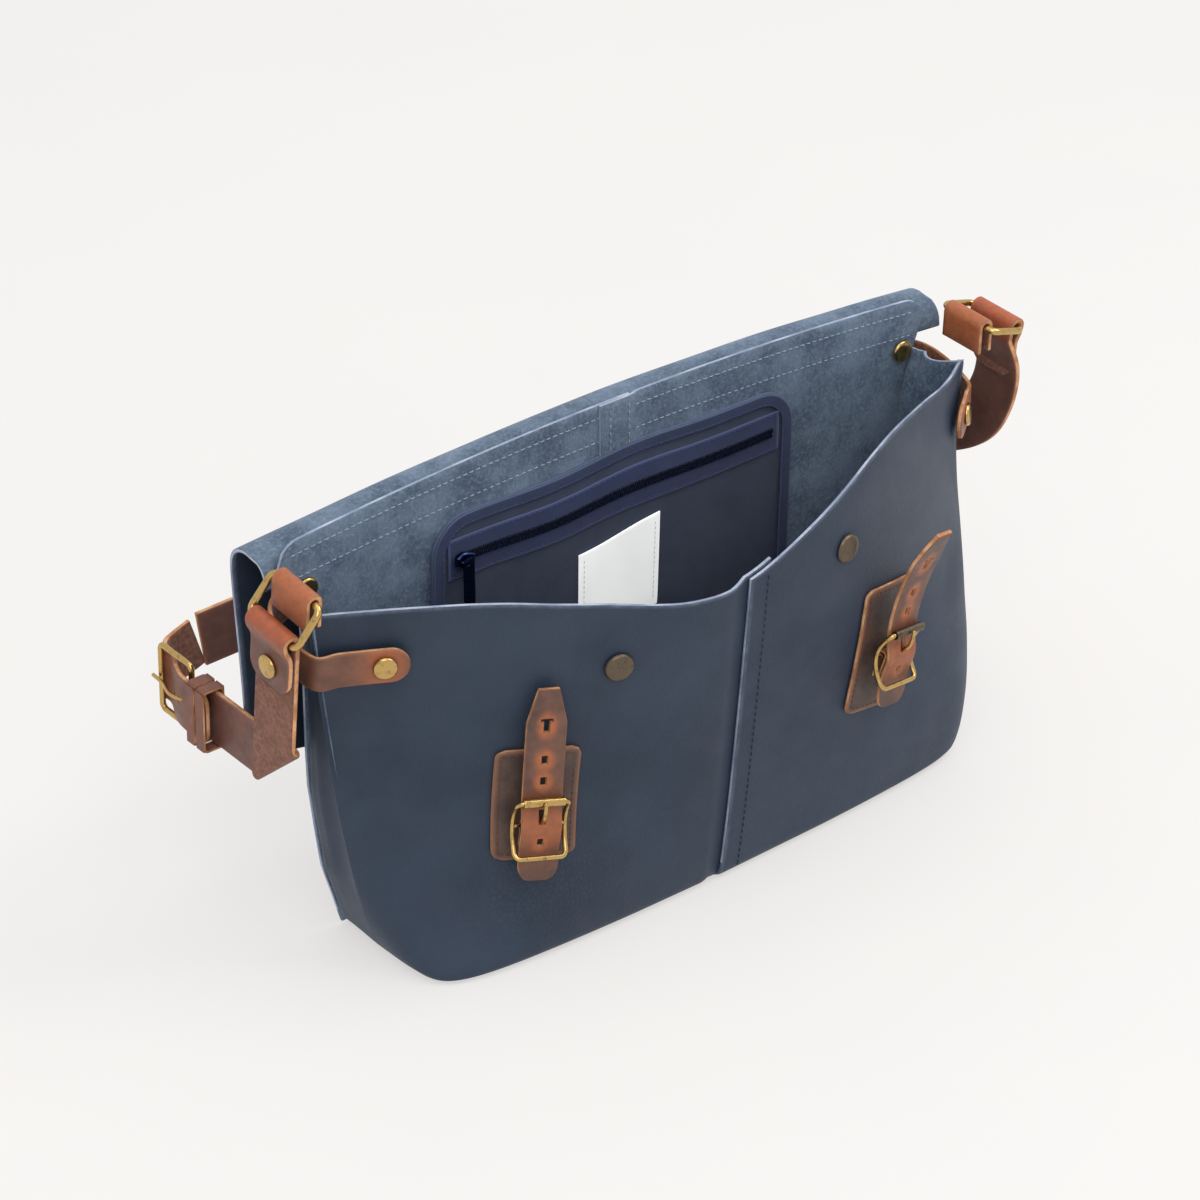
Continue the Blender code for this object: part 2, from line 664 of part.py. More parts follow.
def sleeve(name, inner, outer, step, slot, pivot):
    """A short sleeve between two closed loops of points, extruded both ways by step."""
    verts = [p - step for p in inner] + [p - step for p in outer] + [p + step for p in outer]
    verts += [p + step for p in inner]
    sides = len(inner)
    faces = []
    for i in range(4):
        for k in range(sides):
            m = (k + 1) % sides
            j = (i + 1) % 4
            faces.append([i * sides + k, i * sides + m, j * sides + m, j * sides + k])
    return solid(name, verts, faces, slot, pivot)


def roller(name, centre, axis, half, inner, outer):
    u, v, n = basis(axis)
    angles = [2 * math.pi * k / 16 for k in range(16)]
    rings = [[centre + r * (math.cos(a) * u + math.sin(a) * v) for a in angles] for r in (inner, outer)]
    sleeve(name, *rings, n * half, "brass", centre)


# End fittings -----------------------------------------------------------------

RINGS = {
    "left": {"bar": vec(-214, 4, 222), "along": vec(0, -0.99, -0.13), "drop": vec(-0.60, 0.10, -0.79)},
    "right": {"bar": vec(216, 9, 221), "along": vec(0, -0.99, -0.05), "drop": vec(0.96, 0.01, -0.27)},
}


def ring_frame(side):
    """A ring's bar centre, its direction along the bars, its drop and its face normal."""
    spec = RINGS[side]
    along = unit(spec["along"])
    drop = unit(spec["drop"] - along * (spec["drop"] @ along))
    return spec["bar"], along, drop, np.cross(along, drop)


def wrap_path(centre, first, up, radius, legs_first, legs_second):
    """A strap's centre line: up one leg, round a bar and down the other leg."""
    arc = [centre + radius * (math.cos(a) * first + math.sin(a) * up) for a in np.linspace(0, math.pi, 9)]
    return [arc[0] - up * d for d in legs_first] + arc + [arc[-1] - up * d for d in legs_second]


def rings():
    for side in RINGS:
        bar, along, drop, _ = ring_frame(side)
        middle = bar + drop * RING_H / 2
        outline = rounded_loop(RING_W / 2, RING_H / 2, RING_CORNER, 3)
        loop = [middle + along * u + drop * v for u, v in outline]
        tube(f"ring_{side}", loop, RING_WIRE, "brass", closed=True, pivot=bar)


def ring_tabs():
    """Short straps over the mouth's two ends, each with a ring hanging in its roll."""
    for side, sign in (("left", -1), ("right", 1)):
        bar, along, _, _ = ring_frame(side)
        out = vec(sign, 0, 0)
        up = unit(np.cross(out, along))
        up = up * np.sign(up[2])
        radius = RING_WIRE + GAP + RING_TAB_T / 2
        path = wrap_path(bar, -out, up, radius, (14, 8, 3), (3, 8, 14))
        ribbon(f"ring_tab_{side}", path, along, RING_TAB_W, RING_TAB_T, "brown_leather")


def end_bands():
    """A strap across each end of the body, riveted to its front and to its back."""
    for side, sign in (("left", -1), ("right", 1)):
        z_front = BAND_Z[side]
        outline = np.array([p for p in section(z_front, 60, sign > 0) if p[0] < -BAND_FRONT_X[side]])[::-3][::-1]
        path = []
        for (x, y), (run_x, run_y) in zip(outline, np.gradient(outline, axis=0)):
            n = unit(vec(-run_y, run_x, 0))
            path.append(vec(-sign * x, y, z_front) + vec(-sign * n[0], n[1], 0) * BAND_OUT)
        start = path[-1]
        corner = vec(sign * BAND_CORNER_X, BAND_CORNER_Y, (z_front + BAND_BACK_Z) / 2)
        end = vec(sign * (BAND_BACK_X - 8), BACK_Y_TOP + 1.5, BAND_BACK_Z)
        for t in np.linspace(0.2, 1, 6):
            path.append((1 - t) ** 2 * start + 2 * t * (1 - t) * corner + t * t * end)
        ribbon(f"end_band_{side}", path, (0, 0, 1), BAND_W, BAND_T, "brown_leather")
        p, n, _, _ = front_frame(sign * RIVET_X[side], z_front)
        rivet(f"band_rivet_{side}", p + n * (BAND_OUT + BAND_T / 2 + 0.8), n)
        z = BAND_BACK_Z + 4
        inside = vec(sign * BAND_BACK_X, back_y(BAND_BACK_X, z) - LEATHER - GAP, z)
        rivet(f"band_rivet_back_{side}", inside, (0, -1, 0))


# Shoulder strap ---------------------------------------------------------------

def strap_loop(side, out, main_leg):
    """Centre line of a strap end: its riveted short end, its roll on the ring and its main leg."""
    bar, along, drop, _ = ring_frame(side)
    centre = bar + drop * RING_H
    up = unit(np.cross(out, along))
    up = up * np.sign(up[2])
    radius = RING_WIRE + GAP + STRAP_T / 2
    path = wrap_path(centre, out, up, radius, (), main_leg)
    pinch = 2 * radius - STRAP_T - 2 * GAP
    legs = [(SHORT_END, pinch), (21, pinch), (12, pinch), (8, pinch * 0.8), (4, pinch * 0.25)]
    short = [path[0] - up * d - out * shift for d, shift in legs]
    return short + path, centre, up, along, radius


def short_strap():
    """The strap part on the left ring: it hangs, folds back on itself and ends at the buckle."""
    out = vec(-1, 0, 0)
    length = STRAP_FOLD + BUCKLE_REACH
    steps = tuple(np.arange(6, length + 1, 3.0))
    path, centre, up, along, radius = strap_loop("left", out, steps)
    main = centre - out * radius
    ahead, after = -up, unit(vec(0, 0.999, 0.04))
    line = unit(ahead + after)
    heading = unit(ahead - line * (ahead @ line))
    start = main + ahead * STRAP_FOLD
    past = lambda pts: fold_over(pts, start, heading, -out, FOLD_R, math.pi)
    ribbon("short_strap", path, along, STRAP_W, STRAP_T, "brown_leather", pivot=centre, cells=8, bend=past)
    face = path[1] + out * (STRAP_T / 2 + GAP)
    rivet("short_strap_rivet", face + up * 1.0, out)
    return past(np.array([main + ahead * (length + END_TO_BAR)]))[0], after


def strap_buckle(bar, after):
    """Heel-bar buckle at the short strap's end, with its prong, two keepers and the strap in it."""
    out = vec(-1, 0, 0)
    side = unit(np.cross(after, out))
    frame = (bar, out, side, after)
    outline = rounded_loop(LOOP_HALF_W, LOOP_HALF_H, 3.0, 3)
    ring = [local(frame, u, LOOP_HALF_H + v, 0) for u, v in outline]
    tube("strap_buckle", ring, LOOP_WIRE, "brass", closed=True, pivot=bar)
    hook = LOOP_WIRE + GAP + PRONG_R
    turn = np.linspace(math.radians(-35), math.radians(180), 8)
    pts = [local(frame, 0, -hook * math.sin(a), -hook * math.cos(a)) for a in turn]
    pts += [local(frame, 0, 4.5, 5.6), local(frame, 0, 11, 6.4), local(frame, 0, 20, hook + 0.9)]
    pts.append(local(frame, 0, 2 * LOOP_HALF_H + 3, hook + 0.2))
    tube("strap_prong", pts, PRONG_R, "brass", pivot=bar)
    inside = LOOP_WIRE + GAP + STRAP_T / 2
    path = [local(frame, 0, up, o) for up, o in (*TAIL_PROFILE, (22, -inside + 0.2), (27, -inside))]
    corner = path[-1]
    path += [corner + after * 5 + vec(3.5, 0, 0), corner + after * 7.5 + vec(9, 0, 0),
             vec(RUN_START_X, corner[1] + 8.0, corner[2] + 5.0)]
    tail = ribbon("strap_tail", path, side, STRAP_W - 1, STRAP_T * 0.9, "brown_leather", pivot=bar)
    cut = tail.modifiers.new("slot", "BOOLEAN")
    cut.operation = "DIFFERENCE"
    cut.object = slot_cutter("strap_tail_slot", frame, 5.0, 5.0, 13.0, bar)
    middle, half = (KEEPER_HIGH + KEEPER_LOW) / 2, (KEEPER_HIGH - KEEPER_LOW) / 2
    for k, up in enumerate(KEEPERS):
        loops = []
        for grow in (0.0, KEEPER_T):
            outline = rounded_loop(STRAP_W / 2 + 1.2 + grow, half + grow, 1.6 + grow, 2)
            loops.append([local(frame, u, up, middle + v) for u, v in outline])
        sleeve(f"strap_keeper_{k + 1}", *loops, after * KEEPER_HALF_L, "brown_leather", bar)
    return path[-1]


def long_strap(left_end):
    """The strap part on the right ring, which runs on edge behind the bag to the buckle."""
    out = vec(1, 0, 0)
    path, centre, up, along, radius = strap_loop("right", out, (4, 9))
    main = centre - out * radius
    count = len(path)
    path = path + [vec(*p) for p in LONG_ROUTE] + [left_end + vec(STRAP_JOINT_GAP, 0, 0)]
    twist = np.clip((np.arange(len(path)) - count) / 4.0, 0, 1)[:, None]
    across = along * (1 - twist) + vec(0, -0.05, -1) * twist
    ribbon("long_strap", path, across, STRAP_W, STRAP_T, "brown_leather", pivot=centre, cells=2)
    rivet("long_strap_rivet", path[1] + out * (STRAP_T / 2 + GAP) + up, out)


# Inner pocket -------------------------------------------------------------------

def pocket_y(x, z, depth):
    return back_y(x, z) - LEATHER - depth


def pocket_sheet(name, x_low, x_high, z_low, z_high, depth, thickness, slot, corner=0.0, pivot=(0, 0, 0)):
    """A cloth piece on the back wall, with its two top corners rounded."""
    rows = []
    middle, half = (x_low + x_high) / 2, (x_high - x_low) / 2
    heights = np.linspace(z_low, z_high - corner, 5)
    if corner:
        heights = np.r_[heights, np.linspace(z_high - corner, z_high, 4)[1:]]
    for z in heights:
        rise = max(0.0, z - (z_high - corner))
        width = half - corner + math.sqrt(max(corner ** 2 - rise ** 2, 0.0))
        rows.append([(x, pocket_y(x, z, depth + thickness), z) for x in
                     np.linspace(middle - width, middle + width, 9)])
    sheet(name, rows, thickness, slot, flip=True, pivot=pivot)


def binding_edge():
    """Points (x, z) along the pocket's two sides and top, inset so that the tape covers its edge."""
    inset = BINDING_W / 2 + 0.5
    half, high, corner = POCKET_HALF - inset, POCKET_HIGH - inset, POCKET_CORNER - 2
    turn = [i * math.pi / 6 for i in range(4)]
    right = [(half - corner + corner * math.cos(a), high - corner + corner * math.sin(a)) for a in turn]
    side = [(half, z) for z in np.linspace(POCKET_LOW + 2, high - corner, 4)[:-1]]
    top = [(x, high) for x in (half * 0.4, 0.0)]
    run = side + right + top
    return run + [(-x, z) for x, z in reversed(run[:-1])]


def pocket():
    pocket_sheet("pocket_panel", -POCKET_HALF, POCKET_HALF, POCKET_LOW, POCKET_HIGH, GAP, POCKET_T,
                 "navy_cloth", POCKET_CORNER)
    front = GAP + POCKET_T
    path = [vec(x, pocket_y(x, z, front + GAP + BINDING_T / 2), z) for x, z in binding_edge()]
    across = np.cross(np.gradient(np.array(path), axis=0), vec(0, 1, 0))
    ribbon("pocket_binding", path, across, BINDING_W, BINDING_T, "binding")
    pocket_sheet("zip_tape", -ZIP_HALF, ZIP_HALF, ZIP_Z - TAPE_HALF_H, ZIP_Z + TAPE_HALF_H, front + GAP,
                 TAPE_T, "navy_cloth")
    tape = front + GAP + TAPE_T
    pocket_sheet("zip_teeth", 3 - ZIP_HALF, ZIP_HALF - 3, ZIP_Z - TEETH_HALF_H, ZIP_Z + TEETH_HALF_H,
                 tape + GAP, TEETH_T, "zip_teeth")
    y = pocket_y(SLIDER_X, ZIP_Z, tape + GAP + TEETH_T + GAP)
    wide, deep, tall = SLIDER_HALF
    box("zip_slider", (SLIDER_X - wide, y - 2 * deep, ZIP_Z - tall), (SLIDER_X + wide, y, ZIP_Z + tall),
        "zip_teeth")
    face = y - 2 * deep - 2 * GAP
    box("zip_puller", (SLIDER_X - PULLER_HALF_W, face - 1.5, ZIP_Z - PULLER_DROP),
        (SLIDER_X + PULLER_HALF_W, face, ZIP_Z + 2.0), "zip_teeth", (SLIDER_X, face - 0.8, ZIP_Z + 1.0))
    pocket_sheet("label", LABEL_X - LABEL_HALF, LABEL_X + LABEL_HALF, LABEL_LOW, LABEL_HIGH, front + GAP,
                 LABEL_T, "label_cloth")


def box(name, low, high, slot, pivot=None):
    (x0, y0, z0), (x1, y1, z1) = low, high
    grid = [[(x0, y0, z0), (x1, y0, z0)], [(x0, y0, z1), (x1, y0, z1)]]
    back = [[(x, y1, z) for x, _, z in row] for row in grid]
    verts, faces = thick_grid(grid, back)
    return solid(name, verts, faces, slot, pivot or low)


clear_scene()
body()
flap()
snaps()
for label in BUCKLE_X:
    closing_buckle(label)
rings()
ring_tabs()
end_bands()
long_strap(strap_buckle(*short_strap()))
pocket()
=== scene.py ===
"""Looks of the leather messenger bag: leather shell, flap, straps, buckles, pocket and zip.

Lengths are millimetres and +X, -Y and +Z are right, front and up, as in the CAD part. MM
turns them into metres when a mesh is made.
"""

import json
import math

import bpy
import numpy as np
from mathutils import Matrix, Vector, noise

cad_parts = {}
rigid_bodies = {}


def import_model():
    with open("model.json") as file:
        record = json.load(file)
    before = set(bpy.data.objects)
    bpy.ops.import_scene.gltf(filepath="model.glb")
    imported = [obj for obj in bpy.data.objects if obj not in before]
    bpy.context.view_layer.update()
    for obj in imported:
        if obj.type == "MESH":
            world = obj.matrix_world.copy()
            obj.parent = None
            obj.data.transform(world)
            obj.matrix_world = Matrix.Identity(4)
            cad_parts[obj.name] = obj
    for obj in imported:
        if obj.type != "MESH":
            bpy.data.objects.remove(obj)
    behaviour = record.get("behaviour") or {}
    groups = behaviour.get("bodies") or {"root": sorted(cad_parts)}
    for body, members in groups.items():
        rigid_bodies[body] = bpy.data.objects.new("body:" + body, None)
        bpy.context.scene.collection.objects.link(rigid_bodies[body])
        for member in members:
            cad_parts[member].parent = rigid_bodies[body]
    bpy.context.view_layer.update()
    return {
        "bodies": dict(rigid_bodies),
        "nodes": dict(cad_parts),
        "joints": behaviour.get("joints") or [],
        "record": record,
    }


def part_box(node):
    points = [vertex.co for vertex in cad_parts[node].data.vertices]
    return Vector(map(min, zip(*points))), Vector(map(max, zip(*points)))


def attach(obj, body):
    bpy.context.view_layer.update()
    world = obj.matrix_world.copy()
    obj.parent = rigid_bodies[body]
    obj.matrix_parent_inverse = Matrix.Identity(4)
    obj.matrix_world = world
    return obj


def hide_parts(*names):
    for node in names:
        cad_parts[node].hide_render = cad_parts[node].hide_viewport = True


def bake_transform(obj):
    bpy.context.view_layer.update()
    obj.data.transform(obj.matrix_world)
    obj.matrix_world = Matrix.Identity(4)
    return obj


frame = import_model()

MM = 0.001
GAP = 0.3


# Small helpers ----------------------------------------------------------------

def vec(*xyz):
    return np.array(xyz, float)


def unit(v):
    v = np.asarray(v, float)
    return v / np.linalg.norm(v)


def lerp(a, b, t):
    return a + (b - a) * t


def smooth(t):
    t = np.clip(t, 0.0, 1.0)
    return t * t * (3 - 2 * t)


def wander(points, size, seed):
    """Smooth noise from -1 to 1 at points in millimetres, with features of a given size."""
    pts = np.asarray(points, float).reshape(-1, 3)
    shift = Vector((seed * 7.3, seed * 3.1, seed * 5.7))
    found = [noise.noise(Vector(p) / size + shift) for p in pts]
    return np.array(found).reshape(np.asarray(points).shape[:-1])


def run_along(path):
    """Length along a path at each of its points."""
    return np.r_[0, np.cumsum(np.linalg.norm(np.diff(path, axis=0), axis=1))]


def spline(points, step):
    """Points along a Catmull-Rom curve through the given points, evenly spaced."""
    p = np.asarray(points, float)
    p = np.vstack([2 * p[0] - p[1], p, 2 * p[-1] - p[-2]])
    out = []
    t = np.linspace(0, 1, 16, endpoint=False)[:, None]
    for a, b, c, d in zip(p, p[1:], p[2:], p[3:]):
        out.append(0.5 * (2 * b + (c - a) * t + (2 * a - 5 * b + 4 * c - d) * t ** 2
                          + (3 * b - a - 3 * c + d) * t ** 3))
    curve = np.vstack([*out, p[-2:-1]])
    run = run_along(curve)
    count = max(2, int(round(run[-1] / step)) + 1)
    s = np.linspace(0, run[-1], count)
    return np.stack([np.interp(s, run, curve[:, k]) for k in range(curve.shape[1])], 1)


# Materials --------------------------------------------------------------------

class Nodes:
    """A short way to write a node material."""

    def __init__(self, name):
        self.material = bpy.data.materials.new(name)
        self.material.use_nodes = True
        self.tree = self.material.node_tree
        self.shader = self.tree.nodes["Principled BSDF"]
        self.place = self.tree.nodes.new("ShaderNodeTexCoord").outputs["Object"]

    def add(self, kind, inputs=None, **settings):
        node = self.tree.nodes.new("ShaderNode" + kind)
        for key, value in settings.items():
            setattr(node, key, value)
        for key, value in (inputs or {}).items():
            self.put(node.inputs[key], value)
        return node

    def put(self, socket, value):
        if isinstance(value, bpy.types.NodeSocket):
            self.tree.links.new(value, socket)
        else:
            socket.default_value = value

    def noise(self, scale, detail=3.0, rough=0.55, place=None):
        node = self.add("TexNoise", {"Vector": place or self.place, "Scale": scale, "Detail": detail,
                                     "Roughness": rough})
        return node.outputs["Fac"]

    def ramp(self, value, low, high, a=0.0, b=1.0):
        node = self.add("MapRange", {"Value": value, "From Min": low, "From Max": high, "To Min": a,
                                     "To Max": b}, interpolation_type="SMOOTHSTEP")
        return node.outputs["Result"]

    def math(self, kind, a, b=0.0):
        return self.add("Math", {0: a, 1: b}, operation=kind).outputs[0]

    def mix(self, fac, a, b):
        node = self.add("Mix", data_type="RGBA")
        self.put(node.inputs[0], fac)
        self.put(node.inputs[6], a)
        self.put(node.inputs[7], b)
        return node.outputs[2]

    def mark(self, name):
        return self.add("Attribute", attribute_name=name).outputs["Fac"]

    def stretch(self, x, y, z):
        node = self.add("Mapping", {"Vector": self.place, "Scale": (x, y, z)})
        return node.outputs["Vector"]

    def bump(self, height, depth):
        """A bump of a given depth in millimetres where height goes from 0 to 1."""
        inputs = {"Height": height, "Strength": 1.0, "Distance": depth * MM}
        return self.add("Bump", inputs).outputs["Normal"]

    def finish(self, colour, rough, normal=None, **constants):
        self.put(self.shader.inputs["Base Color"], colour)
        self.put(self.shader.inputs["Roughness"], rough)
        if normal is not None:
            self.put(self.shader.inputs["Normal"], normal)
        for key, value in constants.items():
            self.shader.inputs[key.replace("_", " ")].default_value = value
        return self.material


def rgb(r, g, b):
    """A linear colour from display values of 0 to 255."""
    linear = [c / 255 / 12.92 if c < 10.3 else ((c / 255 + 0.055) / 1.055) ** 2.4 for c in (r, g, b)]
    return (*linear, 1.0)


def near(n, centre, size):
    """1 at a point in millimetres, falling to 0 at a distance of size along each axis."""
    inputs = {0: n.place, 1: tuple(-c * MM for c in centre)}
    moved = n.add("VectorMath", inputs, operation="ADD").outputs["Vector"]
    scaled = n.add("VectorMath", {0: moved, 1: tuple(1 / (s * MM) for s in size)}, operation="MULTIPLY")
    length = n.add("VectorMath", {0: scaled.outputs["Vector"]}, operation="LENGTH").outputs["Value"]
    return n.ramp(length, 1.0, 0.15)


def pebbles(n, scale, twist):
    """Height of a pebbled grain: rounded cells between thin creases."""
    warp = n.add("TexNoise", {"Vector": n.place, "Scale": scale * 0.35, "Detail": 2.0}).outputs["Color"]
    moved = n.add("VectorMath", {0: warp, 1: (twist, twist, twist)}, operation="MULTIPLY").outputs["Vector"]
    place = n.add("VectorMath", {0: n.place, 1: moved}, operation="ADD").outputs["Vector"]
    cells = n.add("TexVoronoi", {"Vector": place, "Scale": scale}, feature="DISTANCE_TO_EDGE")
    return n.ramp(cells.outputs["Distance"], 0.0, 0.32)


def navy_leather():
    """The shell's smooth side: a fine grain, coarser where it is puffed at the lower left, with painted
    shade in its creases there and a painted highlight at the upper right of the front.
    """
    n = Nodes("navy_leather")
    tone = n.noise(14.0, 4.0)
    cast = n.noise(45.0, 3.0)
    base = n.mix(n.ramp(tone, 0.3, 0.7), rgb(29, 44, 61), rgb(44, 58, 75))
    base = n.mix(n.ramp(cast, 0.35, 0.75, 0.0, 0.35), base, rgb(48, 54, 74))
    # Painted light: the upper right of the front is mixed paler and greyer, where the light grazes it.
    painted_light_patch = n.math("MULTIPLY", near(n, (120, -62, 165), (95, 90, 62)), 0.75)
    base = n.mix(painted_light_patch, base, rgb(66, 72, 84))
    coarse = pebbles(n, 360.0, 0.0022)
    fine = pebbles(n, 820.0, 0.0009)
    puffed = near(n, (-118, -75, 42), (85, 90, 50))
    grain = n.mix(puffed, fine, coarse)
    deep = n.ramp(puffed, 0.0, 1.0, 0.30, 0.95)
    # Painted shade: the grain's creases are darkened where the leather is puffed.
    painted_crease_shade = n.math("MULTIPLY", n.math("SUBTRACT", 1.0, grain), n.ramp(puffed, 0.0, 1.0, 0.12, 0.4))
    colour = n.mix(painted_crease_shade, base, rgb(22, 31, 46))
    wear = n.math("MULTIPLY", n.mark("edge"), n.ramp(n.noise(160.0, 4.0), 0.3, 0.7, 0.35, 1.0))
    colour = n.mix(wear, colour, rgb(84, 94, 112))
    rough = n.ramp(n.noise(30.0, 5.0), 0.3, 0.7, 0.50, 0.62)
    rough = n.math("ADD", rough, n.math("MULTIPLY", grain, -0.05))
    height = n.math("MULTIPLY", n.math("ADD", grain, n.math("MULTIPLY", n.noise(2600.0), 0.25)), deep)
    return n.finish(colour, rough, n.bump(height, 0.30), Specular_IOR_Level=0.34, Sheen_Weight=0.03,
                    Sheen_Roughness=0.5, Sheen_Tint=rgb(150, 160, 185))


def suede():
    """The flesh side of the navy leather: a patchy, pale, matt nap."""
    n = Nodes("suede")
    patchy = n.noise(42.0, 6.0, 0.65)
    nap = n.noise(520.0, 5.0, 0.7)
    hair = n.noise(2400.0, 3.0, 0.7, n.stretch(1.0, 1.0, 0.35))
    base = n.mix(n.ramp(patchy, 0.34, 0.68), rgb(62, 76, 94), rgb(100, 116, 134))
    base = n.mix(n.ramp(nap, 0.42, 0.72, 0.0, 0.55), base, rgb(126, 142, 160))
    base = n.mix(n.ramp(hair, 0.5, 0.8, 0.0, 0.35), base, rgb(50, 60, 76))
    height = n.math("ADD", nap, n.math("MULTIPLY", hair, 0.7))
    return n.finish(base, 0.95, n.bump(height, 0.30), Specular_IOR_Level=0.2, Sheen_Weight=0.35,
                    Sheen_Roughness=0.6, Sheen_Tint=rgb(170, 185, 205))


def raw_edge():
    """The cut edge of the navy leather, paler than both its faces."""
    n = Nodes("raw_edge")
    fibre = n.noise(900.0, 5.0, 0.7)
    slow = n.noise(60.0, 3.0)
    base = n.mix(n.ramp(slow, 0.35, 0.7), rgb(128, 138, 160), rgb(176, 184, 200))
    base = n.mix(n.ramp(fibre, 0.45, 0.8, 0.0, 0.5), base, rgb(92, 104, 130))
    return n.finish(base, 0.85, n.bump(fibre, 0.25), Specular_IOR_Level=0.3)


def brown_leather(name="brown_leather", low=(74, 51, 43), high=(108, 72, 56), bend=(172, 94, 50)):
    """Waxed leather whose marked places, where it bends or is pulled, turn lighter and redder."""
    n = Nodes(name)
    tone = n.noise(70.0, 5.0, 0.6)
    fine = n.noise(700.0, 5.0, 0.65)
    base = n.mix(n.ramp(tone, 0.33, 0.7), rgb(*low), rgb(*high))
    pull = n.math("MULTIPLY", n.mark("pull"), n.ramp(n.noise(240.0, 4.0), 0.25, 0.65, 0.62, 1.0))
    base = n.mix(pull, base, rgb(*bend))
    base = n.mix(n.ramp(fine, 0.55, 0.85, 0.0, 0.45), base, rgb(66, 40, 32))
    base = n.mix(n.math("MULTIPLY", n.mark("edge"), 0.4), base, rgb(168, 110, 76))
    grain = pebbles(n, 1500.0, 0.0006)
    height = n.math("ADD", n.math("MULTIPLY", grain, 0.6), fine)
    rough = n.ramp(n.noise(110.0, 5.0), 0.3, 0.7, 0.34, 0.52)
    return n.finish(base, rough, n.bump(height, 0.12), Specular_IOR_Level=0.5)


def tan_edge():
    n = Nodes("tan_edge")
    fibre = n.noise(1100.0, 5.0, 0.7)
    slow = n.noise(120.0, 4.0)
    base = n.mix(n.ramp(slow, 0.35, 0.7), rgb(168, 112, 74), rgb(216, 166, 122))
    base = n.mix(n.ramp(fibre, 0.5, 0.8, 0.0, 0.6), base, rgb(126, 76, 50))
    return n.finish(base, 0.78, n.bump(fibre, 0.25), Specular_IOR_Level=0.3)


def brown_flesh():
    n = Nodes("brown_flesh")
    nap = n.noise(420.0, 6.0, 0.7)
    base = n.mix(n.ramp(nap, 0.35, 0.7), rgb(100, 64, 50), rgb(142, 94, 72))
    return n.finish(base, 0.88, n.bump(nap, 0.2), Specular_IOR_Level=0.25, Sheen_Weight=0.15)


def metal(name, light, dark, rough):
    """Polished metal with tarnished patches and fine scuffs."""
    n = Nodes(name)
    tarnish = n.noise(330.0, 5.0, 0.65)
    scuff = n.noise(1800.0, 3.0, 0.6, n.stretch(1.0, 0.3, 1.0))
    base = n.mix(n.ramp(tarnish, 0.5, 0.8), rgb(*light), rgb(*dark))
    finish = n.ramp(scuff, 0.3, 0.75, rough, rough + 0.10)
    return n.finish(base, finish, n.bump(scuff, 0.02), Metallic=1.0)


def woven(name, warp, weft, pitch, depth=0.14, shine=0.2, glow=0.0):
    """A plain weave: threads up and across that pass over and under each other; glow makes it emit its own
    colour, which is painted light.
    """
    n = Nodes(name)
    parts = n.add("SeparateXYZ", {"Vector": n.place})
    turn = math.pi / (pitch * MM)
    wobble = n.noise(260.0, 2.0)
    shift = n.math("MULTIPLY", wobble, 1.3)
    across = n.math("SINE", n.math("ADD", n.math("MULTIPLY", parts.outputs["X"], turn), shift))
    up = n.math("SINE", n.math("ADD", n.math("MULTIPLY", parts.outputs["Z"], turn), shift))
    over = n.math("MULTIPLY", across, up)
    height = n.math("ADD", n.math("ABSOLUTE", across), n.math("ABSOLUTE", up))
    base = n.mix(n.ramp(over, -0.5, 0.5), rgb(*warp), rgb(*weft))
    slow = n.noise(60.0, 4.0)
    base = n.mix(n.ramp(slow, 0.35, 0.75, 0.0, 0.35), base, rgb(*(max(c - 14, 0) for c in warp)))
    worn = n.math("MULTIPLY", n.mark("edge"), 0.6)
    base = n.mix(worn, base, rgb(*(min(c + 46, 255) for c in weft)))
    # Painted light: the cloth glows in its own colour at strength glow, which only the label is given.
    n.put(n.shader.inputs["Emission Color"], base)
    return n.finish(base, 0.9, n.bump(height, depth), Specular_IOR_Level=shine, Sheen_Weight=0.12,
                    Emission_Strength=glow)


def plastic(name, colour, rough):
    n = Nodes(name)
    fine = n.noise(900.0, 3.0)
    base = n.mix(n.ramp(fine, 0.35, 0.7, 0.0, 0.4), rgb(*colour), rgb(*(c + 18 for c in colour)))
    return n.finish(base, n.ramp(fine, 0.3, 0.7, rough, rough + 0.12), n.bump(fine, 0.02))


def thread(name, colour):
    n = Nodes(name)
    twist = n.noise(2600.0, 2.0)
    base = n.mix(n.ramp(twist, 0.35, 0.65), rgb(*colour), rgb(*(max(c - 30, 0) for c in colour)))
    return n.finish(base, 0.75, n.bump(twist, 0.06))


def floor_material():
    """A pale floor that is lit a little from within, so that shadows on it stay soft."""
    n = Nodes("floor")
    tone = n.mix(n.ramp(n.noise(6.0), 0.3, 0.7), (0.285, 0.280, 0.276, 1.0), (0.291, 0.285, 0.280, 1.0))
    n.put(n.shader.inputs["Emission Color"], (0.556, 0.543, 0.530, 1.0))
    return n.finish(tone, 0.9, Specular_IOR_Level=0.1, Emission_Strength=1.0)


NAVY = navy_leather()
SUEDE = suede()
RAW = raw_edge()
BROWN = brown_leather()
PATCH = brown_leather("patch_leather", (58, 44, 40), (84, 62, 52), (150, 84, 48))
STRAP = brown_leather("strap_leather", (70, 49, 44), (98, 66, 57), (168, 84, 46))
TAN = tan_edge()
FLESH = brown_flesh()
BRASS = metal("antique_brass", (192, 160, 100), (118, 92, 54), 0.17)
BRONZE = metal("dark_bronze", (104, 92, 78), (72, 62, 52), 0.36)
CLOTH = woven("pocket_cloth", (46, 55, 76), (60, 71, 94), 0.55)
BIND = woven("binding_tape", (34, 46, 76), (46, 60, 94), 0.4, 0.08, 0.3)
TAPE = woven("zip_tape_cloth", (34, 44, 76), (46, 58, 96), 0.42, 0.08, 0.3)
